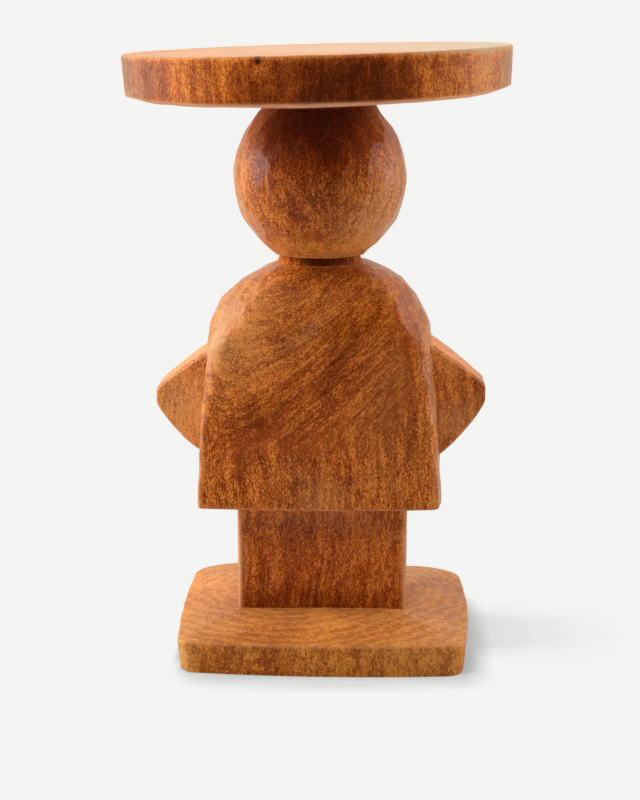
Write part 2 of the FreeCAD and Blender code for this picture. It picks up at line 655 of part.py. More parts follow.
def make_top_dowels():
    """Three dowels between the head and the round top."""
    body = new_body("top_dowels", TOP_SHIFT, SEAT, "-Sizes.top_tilt")
    outlines = top_dowel_circles(body, "outlines", "0", "-Sizes.top_dowel_depth")
    pins = pad(body, "pins", outlines, "2 * Sizes.top_dowel_depth")
    dress(body, "bevels", "PartDesign::Chamfer", pins, lambda edge: spans(edge, "Z", 0), "Sizes.dowel_bevel")
    return body


bodies = [make_felt_pads(), make_base(), make_base_screws(), make_post(), make_torso(), make_neck(),
          make_head(), make_table_top(), make_top_dowels()]
for arm in ARMS:
    bodies += [make_arm(*arm), make_arm_dowels(*arm)]
document.recompute()

failed = [item.Label for item in document.Objects if {"Invalid", "Error"} & set(item.State)]
failed += [body.Label for body in bodies if body.Shape.isNull() or not body.Shape.isValid()]
if failed:
    raise ValueError(f"not built: {failed}")

os.makedirs("parts", exist_ok=True)
for body in bodies:
    body.Shape.exportStep(f"parts/{body.Label}.step")
    print(f"{body.Label}: {len(body.Shape.Solids)} solids, {body.Shape.Volume:.0f} mm3")
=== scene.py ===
"""Looks of a carved hardwood side table: hand-tooled surfaces, their finishes, a studio and a camera.

Metres, +Z up. The front faces -Y, and the origin is on the floor under the middle of the round top.
"""

import logging
import math
from dataclasses import dataclass, field
from enum import Enum

import bpy
import numpy as np
from mathutils import Matrix, Vector
from mathutils.bvhtree import BVHTree

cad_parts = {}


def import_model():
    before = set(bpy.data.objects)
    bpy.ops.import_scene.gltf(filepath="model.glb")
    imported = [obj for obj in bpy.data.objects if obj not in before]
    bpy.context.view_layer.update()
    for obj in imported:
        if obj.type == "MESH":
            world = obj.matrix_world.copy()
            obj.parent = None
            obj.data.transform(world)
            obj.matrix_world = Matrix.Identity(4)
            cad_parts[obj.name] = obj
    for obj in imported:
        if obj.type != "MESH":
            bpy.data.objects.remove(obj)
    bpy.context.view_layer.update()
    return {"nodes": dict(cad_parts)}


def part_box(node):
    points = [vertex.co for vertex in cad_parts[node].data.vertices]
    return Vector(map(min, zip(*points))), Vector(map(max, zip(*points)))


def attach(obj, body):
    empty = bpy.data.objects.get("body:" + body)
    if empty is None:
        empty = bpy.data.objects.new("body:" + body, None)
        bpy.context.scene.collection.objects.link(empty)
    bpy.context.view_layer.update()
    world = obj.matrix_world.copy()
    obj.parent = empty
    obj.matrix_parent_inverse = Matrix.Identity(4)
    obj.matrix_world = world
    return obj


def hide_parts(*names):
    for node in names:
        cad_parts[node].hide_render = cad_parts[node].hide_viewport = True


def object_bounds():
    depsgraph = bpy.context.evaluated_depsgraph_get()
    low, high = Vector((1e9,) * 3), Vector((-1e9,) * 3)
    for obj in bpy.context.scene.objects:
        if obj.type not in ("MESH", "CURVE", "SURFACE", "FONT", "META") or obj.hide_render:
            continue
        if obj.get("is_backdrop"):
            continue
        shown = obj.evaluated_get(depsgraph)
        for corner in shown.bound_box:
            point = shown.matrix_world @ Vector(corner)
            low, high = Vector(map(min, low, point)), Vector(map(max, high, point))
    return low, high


Array = np.ndarray
Object = bpy.types.Object
Material = bpy.types.Material
Socket = bpy.types.NodeSocket
Tree = bpy.types.NodeTree
Vec3 = tuple[float, float, float]

LOG = logging.getLogger("side_table")
BODY = "root"
MM = 0.001
TINY = 1e-12
# The size of the small rings that close a surface at its poles
POLE = 1 * MM
# How many points of a surface are tried as the middles of tool marks
TRIED_MIDDLES = 9000
# How many waves make a slow unevenness
WAVE_COUNT = 6
# How far down a surface faces where the underside starts, and where all of it is underside, which is dull,
# unwaxed and lighter, partly in its own colour and partly as painted light bounced from the floor
UNDERSIDE_FALL = (0.6, 0.9)
# How sharply a surface turns where wear starts, and how much more sharply where it is full
WEAR_START, WEAR_RANGE = 0.12, 0.5
# Most of a noise lies between these numbers
NOISE_RANGE = (0.3, 0.7)


def smooth_step(values: Array, low: float, high: float) -> Array:
    """Rise from 0 at low to 1 at high, as 3t^2 - 2t^3 of the share t of the way.

    Args:
        values: The numbers to grade.
        low: Where the rise starts.
        high: Where it ends, which may be below low for a fall.

    Returns:
        Shares from 0 to 1, one for each value.
    """
    share = np.clip((values - low) / (high - low), 0.0, 1.0)
    return share * share * (3.0 - 2.0 * share)


def evenly(profile: Array, step: float | Array) -> Array:
    """Points of a line at distances along it that are even, or follow a step that changes along the line.

    The line's length over the local step is summed along it, and the points lie at whole shares of that sum.

    Args:
        profile: Rows of numbers, of which the first two are the place across and the height.
        step: The distance between neighbours in metres: one number, or one for each row.

    Returns:
        Rows of the same width, found by straight interpolation.
    """
    lengths = np.hypot(*np.diff(profile[:, :2], axis=0).T)
    steps = np.broadcast_to(step, len(profile))
    counted = np.concatenate([[0.0], np.cumsum(lengths * 2.0 / (steps[1:] + steps[:-1]))])
    wanted = np.linspace(0.0, counted[-1], max(2, int(round(counted[-1])) + 1))
    return np.stack([np.interp(wanted, counted, column) for column in profile.T], axis=1)


def rounded(corners: list[Vec3], steps: int = 8) -> Array:
    """A line of straight runs with round corners.

    Each corner is replaced by a quadratic curve between the points on its two runs that lie its radius away:
    (1-t)^2 times the first, 2t(1-t) times the corner, and t^2 times the last.

    Args:
        corners: Each point as its place across, its height and the radius of its corner.
        steps: How many points a round corner takes.

    Returns:
        The points of the line, as (place across, height) rows.
    """
    points = [np.array(corners[0][:2])]
    share = np.linspace(0.0, 1.0, steps)[:, None]
    for before, here, after in zip(corners, corners[1:], corners[2:]):
        middle = np.array(here[:2])
        if here[2] == 0:
            points.append(middle)
            continue
        runs = (np.array(other[:2]) - middle for other in (before, after))
        ends = [middle + run * min(here[2] / np.linalg.norm(run), 0.5) for run in runs]
        curve = (1 - share) ** 2 * ends[0] + 2 * share * (1 - share) * middle + share ** 2 * ends[1]
        points.extend(curve)
    points.append(np.array(corners[-1][:2]))
    return np.array(points)


def quarter_ring(half_x: Array, half_y: Array, bows: tuple[Array, Array], corner: Array, count: int) -> Array:
    """A quarter of many four-sided outlines with bowed sides, from the middle of one side to the next.

    The sides are arcs of radius (half chord^2 + bow^2) / (2 bow). The corner's centre is where circles about
    the two arcs' centres cross, each with its arc's radius less the corner's. Points are even along the arcs.

    Args:
        half_x: Half the width of each outline.
        half_y: Half the depth of each outline.
        bows: The rise of the side arcs and of the front arcs.
        corner: The radius of the corners.
        count: How many steps each quarter takes.

    Returns:
        An array of outlines by points by (x, y), with both ends.
    """
    side = (half_y ** 2 + bows[0] ** 2) / (2 * bows[0])
    front = (half_x ** 2 + bows[1] ** 2) / (2 * bows[1])
    side_x, front_y = half_x - side, half_y - front
    apart = np.hypot(side_x, front_y)
    along = ((side - corner) ** 2 - (front - corner) ** 2 + apart ** 2) / (2 * apart)
    off = np.sqrt((side - corner) ** 2 - along ** 2)
    mid_x = side_x - (along * side_x + off * front_y) / apart
    mid_y = (along * front_y - off * side_x) / apart
    low = np.arctan2(mid_y, mid_x - side_x)
    high = np.arctan2(mid_y - front_y, mid_x)
    zero = np.zeros_like(low)
    arcs = ((side_x, zero, side, zero, low), (mid_x, mid_y, corner, low, high),
            (zero, front_y, front, high, zero + 0.5 * math.pi))
    total = sum(radius * (end - start) for _, _, radius, start, end in arcs)
    places = np.linspace(0.0, 1.0, count + 1)[None, :] * total[:, None]
    points = np.zeros((*places.shape, 2))
    passed = np.zeros_like(total)
    for centre_x, centre_y, radius, start, end in arcs:
        angle = start[:, None] + (places - passed[:, None]) / radius[:, None]
        arc = np.stack([centre_x[:, None] + radius[:, None] * np.cos(angle),
                        centre_y[:, None] + radius[:, None] * np.sin(angle)], axis=2)
        points = np.where((places >= passed[:, None] - TINY)[..., None], arc, points)
        passed = passed + radius * (end - start)
    return points


def cushion_rings(levels: Array, bows: tuple[float, float], columns: int) -> Array:
    """Closed outlines stacked in height, each with bowed sides and four round corners.

    Args:
        levels: Rows of half width, height, half depth, and the corner radii at the right back, left back,
            left front and right front.
        bows: The rise of the side arcs and of the front and back arcs, at most a fifth of a half size.
        columns: How many points each outline takes, a multiple of four.

    Returns:
        An array of levels by columns by (x, y, z), counterclockwise from the middle of the right side.
    """
    half_x, height, half_y, *corners = levels.T
    rises = tuple(np.minimum(bow, 0.2 * np.minimum(half_x, half_y)) for bow in bows)
    quarters = []
    for index, (side, front) in enumerate(((1.0, 1.0), (-1.0, 1.0), (-1.0, -1.0), (1.0, -1.0))):
        quarter = quarter_ring(half_x, half_y, rises, corners[index], columns // 4) * np.array([side, front])
        quarters.append(quarter[:, :-1] if side * front > 0 else quarter[:, :0:-1])
    ring = np.concatenate(quarters, axis=1)
    upright = np.broadcast_to(height[:, None, None], (*ring.shape[:2], 1))
    return np.concatenate([ring, upright], axis=2)


def small_outline(height: float) -> list[float]:
    """The row of a very small outline at a height, which closes stacked outlines in their middle."""
    return [2 * POLE, height, 2 * POLE, *(4 * [POLE])]


def turned_rings(profile: Array, columns: int) -> Array:
    """A profile of (radius, height) carried round the Z axis.

    Args:
        profile: Rows of radius and height, from the lower pole to the upper one.
        columns: How many points each ring takes.

    Returns:
        An array of rings by columns by (x, y, z) = (r cos a, r sin a, z).
    """
    angle = np.linspace(0.0, 2 * math.pi, columns, endpoint=False)
    radius, height = profile[:, :1], profile[:, 1:2]
    return np.stack([radius * np.cos(angle), radius * np.sin(angle), height + 0 * angle], axis=2)


def ring_normals(rings: Array) -> Array:
    """Outward directions of stacked rings: the cross product of the steps around and up, made one long.

    Args:
        rings: An array of rings by columns by (x, y, z).

    Returns:
        An array of the same shape.
    """
    around = np.roll(rings, -1, axis=1) - np.roll(rings, 1, axis=1)
    up = np.gradient(rings, axis=0)
    normals = np.cross(around, up)
    return normals / np.maximum(np.linalg.norm(normals, axis=2, keepdims=True), TINY)


def scatter(points: Array, pitch: float, stretch: Array, seed: int) -> Array:
    """Chooses points of a surface that keep their distance, the way a carver spaces cuts.

    Args:
        points: Candidates, as (x, y, z) rows.
        pitch: The least distance between two chosen points, in metres.
        stretch: How many times longer the distance is along x, y and z.
        seed: Starts the random draw.

    Returns:
        The chosen points.
    """
    draw = np.random.default_rng(seed)
    candidates = points[draw.permutation(len(points))[:TRIED_MIDDLES]]
    chosen = np.empty((0, 3))
    for candidate in candidates:
        gaps = (chosen - candidate) / stretch
        if not len(gaps) or np.min(np.einsum("ij,ij->i", gaps, gaps)) > pitch ** 2:
            chosen = np.vstack([chosen, candidate])
    return chosen


@dataclass(frozen=True)
class ToolMarks:
    """Shallow cuts of a flat gouge: their spacing, the height of the ridges between them and their lean."""

    pitch: float = 15 * MM
    ridge: float = 0.45 * MM
    stretch: Vec3 = (1.0, 1.0, 1.0)
    lean: float = 0.012
    soften: float = 0.12 * MM
    seed: int = 3

    def cut(self, points: Array) -> tuple[Array, Array]:
        """Works out the cuts over a surface.

        Each cut is a bowl about its middle, whose height is the ridge's height times the square of the
        distance over half the pitch, plus a small lean. The surface is the lowest bowl at each point, and
        where the two lowest come closer than the softening k, it is lowered by k/4 times the square of their
        closeness.

        Args:
            points: The surface's points, as (x, y, z) rows.

        Returns:
            The height of the tooled surface over the plain one, with a mean of zero, and a tone from 0 to 1
            that differs from cut to cut.
        """
        stretch = np.array(self.stretch)
        middles = scatter(points, self.pitch, stretch, self.seed)
        draw = np.random.default_rng(self.seed + 1)
        leans = draw.normal(0.0, self.lean, (len(middles), 3))
        tones = draw.random(len(middles))
        steepness = self.ridge / (0.5 * self.pitch) ** 2
        lowest, second, tone = np.ones(len(points)), np.ones(len(points)), np.zeros(len(points))
        for middle, lean, own_tone in zip(middles, leans, tones):
            gap = points - middle
            height = steepness * np.einsum("ij,ij->i", gap / stretch, gap / stretch) + gap @ lean
            lower = height < lowest
            second = np.where(lower, lowest, np.minimum(second, height))
            tone = np.where(lower, own_tone, tone)
            lowest = np.where(lower, height, lowest)
        near = np.clip(1.0 - (second - lowest) / self.soften, 0.0, 1.0)
        height = lowest - near ** 2 * self.soften / 4
        return height - height.mean(), tone


def hand_waves(points: Array, length: float, height: float, seed: int) -> Array:
    """A slow unevenness: the height times twice the mean of sine waves that run in random directions.

    Args:
        points: Where it is wanted, as (x, y, z) rows.
        length: The shortest wavelength, in metres.
        height: The size of the waves, in metres.
        seed: Starts the random draw.

    Returns:
        Heights, one for each point.
    """
    draw = np.random.default_rng(seed)
    ways = draw.normal(size=(WAVE_COUNT, 3))
    ways /= np.linalg.norm(ways, axis=1, keepdims=True)
    turns = 2 * math.pi / (length * draw.uniform(1.0, 2.2, WAVE_COUNT))
    starts = draw.uniform(0, 6.28, WAVE_COUNT)
    return height * np.sin(points @ (ways * turns[:, None]).T + starts).mean(axis=1) * 2


@dataclass(frozen=True)
class Patch:
    """A cloud of darker or lighter colour, a Gaussian of the distance from its middle over its radii: some
    are the wood's own tone, and many are painted light and painted shade.
    """

    middle: Vec3
    radii: Vec3
    tone: float
    turn: float = 0.0

    def over(self, points: Array) -> Array:
        """The patch's tone times exp(-d^2), where d is the distance in radii, turned in the front plane.

        Args:
            points: Where it is wanted, as (x, y, z) rows in metres.

        Returns:
            Tones, one for each point.
        """
        gap = points - np.array(self.middle) * MM
        turn = math.radians(self.turn)
        across = gap[:, 0] * math.cos(turn) + gap[:, 2] * math.sin(turn)
        along = gap[:, 2] * math.cos(turn) - gap[:, 0] * math.sin(turn)
        turned = np.stack([across, gap[:, 1], along], axis=1) / (np.array(self.radii) * MM)
        return self.tone * np.exp(-np.einsum("ij,ij->i", turned, turned))


def clouds(patches: tuple[Patch, ...], points: Array) -> Array:
    """The sum of patches over points, one number for each point."""
    return sum((patch.over(points) for patch in patches), np.zeros(len(points)))


@dataclass(frozen=True)
class WoodFinish:
    """The hardwood's colours, as linear red, green and blue, and the strength of its grain and wax."""

    name: str
    dark: Vec3 = (0.16, 0.024, 0.001)
    mid: Vec3 = (0.42, 0.079, 0.006)
    light: Vec3 = (0.84, 0.272, 0.037)
    # pale: the colour of painted sheen and painted light, on lighter tones and on edges seen at a slant
    pale: Vec3 = (0.60, 0.38, 0.18)
    # The colour of arrises: partly wear, partly a painted highlight
    wear_and_highlight: Vec3 = (0.70, 0.33, 0.13)
    # heart_and_shade: the deep brown that darker tones are multiplied by, both the wood's own darker clouds
    # and painted shade
    heart_and_shade: Vec3 = (0.36, 0.26, 0.12)
    # The colour of undersides: partly unwaxed wood, partly painted light bounced from the floor
    sawn_and_bounce: Vec3 = (0.88, 0.46, 0.29)
    pore: Vec3 = (0.03, 0.007, 0.002)
    fleck_scale: float = 1300.0
    fleck_stretch: float = 0.4
    fleck_share: float = 0.9
    streak_share: float = 1.0
    cloud_share: float = 0.9
    ring_share: float = 0.12
    tone_share: float = 0.5
    facet_share: float = 0.16
    # How much lighter undersides are: partly unwaxed wood, partly painted light bounced from the floor
    bare_and_bounce_share: float = 0.3
    sawn_and_bounce_share: float = 0.55
    wear_and_highlight_share: float = 0.35
    # How much edges seen at a slant turn pale, a painted sheen, and from which facing on
    slant_sheen_share: float = 0.45
    slant_sheen_start: float = 0.3
    # Lighter tones turn pale past a start, in patches: mostly painted light and painted sheen
    sheen_pale_share: float = 0.7
    sheen_pale_start: float = 0.0
    sheen_pale_patches: tuple[float, float, float, float] = (0.4, 1.6, 0.75, 1.1)
    pore_share: float = 0.5
    shift: float = 0.0
    roughness: float = 0.34
    streak_roughness: tuple[float, float] = (-0.03, 0.05)
    pore_roughness: float = 0.2
    bare_roughness: float = 0.6
    ior: float = 1.28
    relief: float = 0.25
    relief_depth: float = 0.3 * MM
    swirls: bool = False


def make_object(name: str, vertices: Array, faces: list[Array]) -> Object:
    """Makes an object of the scene from points and faces.

    Args:
        name: The name of the object and its mesh.
        vertices: The points, as (x, y, z) rows in metres.
        faces: Arrays of point numbers, each of faces with the same number of corners.

    Returns:
        The object, at the origin, with smooth faces.
    """
    mesh = bpy.data.meshes.new(name)
    corners = np.concatenate([group.ravel() for group in faces]).astype(np.int32)
    sizes = np.concatenate([np.full(len(group), group.shape[1]) for group in faces]).astype(np.int32)
    mesh.vertices.add(len(vertices))
    mesh.loops.add(len(corners))
    mesh.polygons.add(len(sizes))
    mesh.vertices.foreach_set("co", vertices.astype(np.float32).ravel())
    mesh.loops.foreach_set("vertex_index", corners)
    mesh.polygons.foreach_set("loop_start", np.concatenate([[0], np.cumsum(sizes)[:-1]]).astype(np.int32))
    mesh.polygons.foreach_set("use_smooth", np.ones(len(sizes), bool))
    mesh.update(calc_edges=True)
    mesh.validate()
    piece = bpy.data.objects.new(name, mesh)
    bpy.context.scene.collection.objects.link(piece)
    return piece


def set_attribute(piece: Object, name: str, values: Array) -> None:
    """Stores a number or a vector for each point of a piece under a name that its material reads.

    Args:
        piece: The piece.
        name: The attribute's name.
        values: One number, or one row of three, for each point.
    """
    kind, key = ("FLOAT", "value") if values.ndim == 1 else ("FLOAT_VECTOR", "vector")
    attribute = piece.data.attributes.new(name, kind, "POINT")
    attribute.data.foreach_set(key, values.astype(np.float32).ravel())


class Part(Enum):
    """The carved pieces, by the node that each stands for."""

    TOP = "table_top"
    HEAD = "head"
    NECK = "neck"
    TORSO = "torso"
    ARM_LEFT = "arm_left"
    ARM_RIGHT = "arm_right"
    POST = "post"
    BASE = "base"


@dataclass
class Carving:
    """A wooden piece made of stacked rings of points, with tool marks cut into its surface."""

    part: Part
    marks: ToolMarks
    finish: WoodFinish
    wave_length: float = 60 * MM
    wave_height: float = 0.25 * MM
    tones: tuple[Patch, ...] = ()
    box: tuple[Array, Array] = field(init=False)
    room: tuple[Array, Array] = field(init=False)

    def __post_init__(self) -> None:
        """Reads the node's box from the frame, and the room that all pieces together must keep to."""
        self.box = tuple(np.array(corner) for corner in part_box(self.part.value))
        self.room = tuple(np.array(corner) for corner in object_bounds())

    @property
    def foot(self) -> Array:
        """The middle of the box's lowest edge from left to right, in the plane y = 0."""
        low, high = self.box
        return np.array([0.5 * (low[0] + high[0]), 0.0, low[2]])

    @property
    def tall(self) -> float:
        """The height of the box."""
        return self.box[1][2] - self.box[0][2]

    def rings(self) -> Array:
        """The plain surface as rings from one pole to the other."""
        raise NotImplementedError

    def tooled_share(self, points: Array, normals: Array) -> Array:
        """How much of the tool marks shows at each point: all of them, unless a piece says otherwise."""
        return np.ones(len(points))

    def build(self) -> Object:
        """Cuts the marks into the rings and makes the piece.

        Points move along the surface's own direction by the cuts and the slow waves. Where the rings turn
        sharply lie the wear and a painted highlight of the arrises, which follows 1 less the dot product of
        the directions on both sides.

        Returns:
            The piece, which stands for its node and rides on the body.
        """
        rings = self.rings()
        rows, columns, _ = rings.shape
        points = rings.reshape(-1, 3)
        normals = ring_normals(rings).reshape(-1, 3)
        cuts, facet = self.marks.cut(points)
        waves = hand_waves(points, self.wave_length, self.wave_height, self.marks.seed)
        share = self.tooled_share(points, normals)
        shaped = points + normals * ((cuts * share + waves) * self.free_share(points))[:, None]
        shaped = np.clip(shaped, *self.room)
        grid = shaped.reshape(rows, columns, 3)
        vertices = np.vstack([shaped, grid[0].mean(axis=0), grid[-1].mean(axis=0)])
        piece = make_object(self.part.value + "_carved", vertices, self.faces(rows, columns))
        stored = {
            # Arrises: partly wear, partly a painted highlight where light catches them
            "wear_and_highlight": self.wear(ring_normals(grid)).ravel(),
            # Undersides: dull and unwaxed, and painted lighter as if lit from the floor below
            "bare_and_bounce_lit": smooth_step(-normals[:, 2], *UNDERSIDE_FALL),
            "facet": (facet - 0.5) * share,
            # Tone: the wood's own lighter and darker clouds together with painted light and painted shade
            "tone": clouds(self.tones, shaped),
        }
        for name, values in stored.items():
            set_attribute(piece, name, np.concatenate([values, np.zeros(2)]))
        self.add_figure(piece, vertices)
        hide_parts(self.part.value)
        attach(piece, BODY)
        LOG.info("%s: %d triangles, %.0f mm high", piece.name, 2 * len(vertices), np.ptp(shaped[:, 2]) / MM)
        return piece

    def free_share(self, points: Array) -> Array:
        """How far each point may move from the plain surface: 1 is freely, 0 is not at all."""
        return np.ones(len(points))

    def add_figure(self, piece: Object, points: Array) -> None:
        """Stores where curved grain lies. Most pieces have straight grain and store nothing."""

    @staticmethod
    def wear(normals: Array) -> Array:
        """Where a surface turns outward sharply, from 0 on flats to 1 on arrises.

        Args:
            normals: Directions of the surface, as rings by columns by (x, y, z).

        Returns:
            The wear, as rings by columns.
        """
        around = 1.0 - np.einsum("ijk,ijk->ij", np.roll(normals, -1, axis=1), np.roll(normals, 1, axis=1))
        up = np.zeros_like(around)
        up[1:-1] = 1.0 - np.einsum("ijk,ijk->ij", normals[2:], normals[:-2])
        return np.clip((np.sqrt(np.maximum(around + up, 0.0)) - WEAR_START) / WEAR_RANGE, 0.0, 1.0)

    @staticmethod
    def faces(rows: int, columns: int) -> list[Array]:
        """Four-cornered faces between the rings and a fan of triangles about each pole.

        Args:
            rows: How many rings there are.
            columns: How many points each ring has.

        Returns:
            The two kinds of faces, all facing outwards.
        """
        here = np.arange(columns)
        after = (here + 1) % columns
        start = np.arange(rows - 1)[:, None] * columns
        above = start + columns
        quads = np.stack([start + here, start + after, above + after, above + here], axis=2)
        last, low, high = (rows - 1) * columns, rows * columns, rows * columns + 1
        bottom = np.stack([np.full(columns, low), after, here], axis=1)
        top = np.stack([np.full(columns, high), last + here, last + after], axis=1)
        return [quads.reshape(-1, 4), np.concatenate([bottom, top])]


@dataclass
class Head(Carving):
    """The ball: an arc about its middle that runs on as straight lines to a flat foot and a leaning seat."""

    part: Part = Part.HEAD
    marks: ToolMarks = ToolMarks(14 * MM, 0.34 * MM, (1.0, 1.0, 1.4), 0.009, 0.1 * MM, seed=5)
    finish: WoodFinish = WoodFinish("head_wood", sawn_and_bounce=(0.84, 0.30, 0.06), shift=0.04)
    # The tones paint light and shade: a painted shadow of the round top over the ball's upper front, painted
    # light on its lower right and its left side, and a painted highlight on its right
    tones: tuple[Patch, ...] = (
        Patch((0, -50, 412), (50, 60, 34), -1.2), Patch((45, -45, 330), (25, 35, 24), 0.45),
        Patch((-66, -20, 345), (20, 60, 40), 0.3), Patch((55, -40, 372), (13, 30, 28), 0.35))
    columns: int = 380
    radius: float = 67 * MM
    middle: float = 59.7 * MM
    foot_angle: float = 44.5
    seat_angle: float = 34.6
    arc_points: int = 60
    lean: float = 1.5
    seat_drop: float = 1.2 * MM
    foot_edge: tuple[tuple[float, float], ...] = (
        (-1.6 * MM, 0.0), (-0.5 * MM, 0.3 * MM), (0.6 * MM, 1.5 * MM))
    step: float = 1.25 * MM

    def rings(self) -> Array:
        """The arc (r cos a, m + r sin a) from -foot angle to seat angle, with a tangent line at each end.

        Above the leaning plane of the seat, which passes its drop below the top of the box, nothing is left.
        """
        start, end = math.radians(-self.foot_angle), math.radians(self.seat_angle)
        angle = np.linspace(start, end, self.arc_points)
        arc = np.stack([self.radius * np.cos(angle), self.middle + self.radius * np.sin(angle)], axis=1)
        foot_radius = arc[0, 0] + arc[0, 1] * math.tan(start)
        height = self.tall
        seat_radius = arc[-1, 0] - (height - arc[-1, 1]) * math.tan(end)
        near_foot = np.array(self.foot_edge) + np.array([foot_radius, 0.0])
        profile = np.vstack([[[POLE, 0.0]], near_foot, arc, [[seat_radius, height], [POLE, height]]])
        rings = turned_rings(evenly(profile, self.step), self.columns)
        seat = height - self.seat_drop + rings[..., 0] * math.tan(math.radians(self.lean))
        rings[..., 2] = np.minimum(rings[..., 2], seat)
        return rings + self.foot

    def free_share(self, points: Array) -> Array:
        """Nothing moves where the ball meets the neck and the round top."""
        low, high = self.box
        return smooth_step(points[:, 2], low[2], low[2] + 4 * MM) * smooth_step(
            points[:, 2], high[2] - 3 * MM, high[2] - 7 * MM)


@dataclass
class Neck(Carving):
    """The turned neck: a waisted collar between a spigot into the torso and one into the head."""

    part: Part = Part.NECK
    marks: ToolMarks = ToolMarks(20 * MM, 0.1 * MM)
    finish: WoodFinish = WoodFinish(
        "neck_wood", shift=-0.05, wear_and_highlight_share=0.0, slant_sheen_share=0.0, roughness=0.7, ior=1.15)
    # The tones are painted shade in the groove under the ball and painted light in a thin ring at the
    # collar's foot
    tones: tuple[Patch, ...] = (
        Patch((3, -30, 303), (21, 25, 30), -0.8), Patch((2, 0, 299.5), (60, 60, 1.8), 0.3))
    columns: int = 160
    spigot: float = 19 * MM
    spigot_round: float = 1.5 * MM
    waist: float = 31.0 * MM
    flare: float = 35 * MM
    gap: float = 5.8 * MM
    down: float = 34 * MM
    let_in: float = 1.5 * MM
    step: float = 0.8 * MM

    def rings(self) -> Array:
        """A spigot, a collar that widens to its lower end, and the upper spigot, carried round the axis."""
        hidden, crown, head = self.down - self.let_in, self.down, self.down + self.gap
        profile = rounded([
            (POLE, 0, 0), (self.spigot, 0, self.spigot_round), (self.spigot, hidden, 0),
            (self.flare, hidden, 1 * MM), (self.waist + 1.2 * MM, crown + 1.6 * MM, 2 * MM),
            (self.waist, head, 0), (self.spigot, head, 0),
            (self.spigot, self.tall, self.spigot_round), (POLE, self.tall, 0),
        ])
        return turned_rings(evenly(profile, self.step), self.columns) + self.foot

    def free_share(self, points: Array) -> Array:
        """The neck is turned, so nothing moves."""
        return np.zeros(len(points))


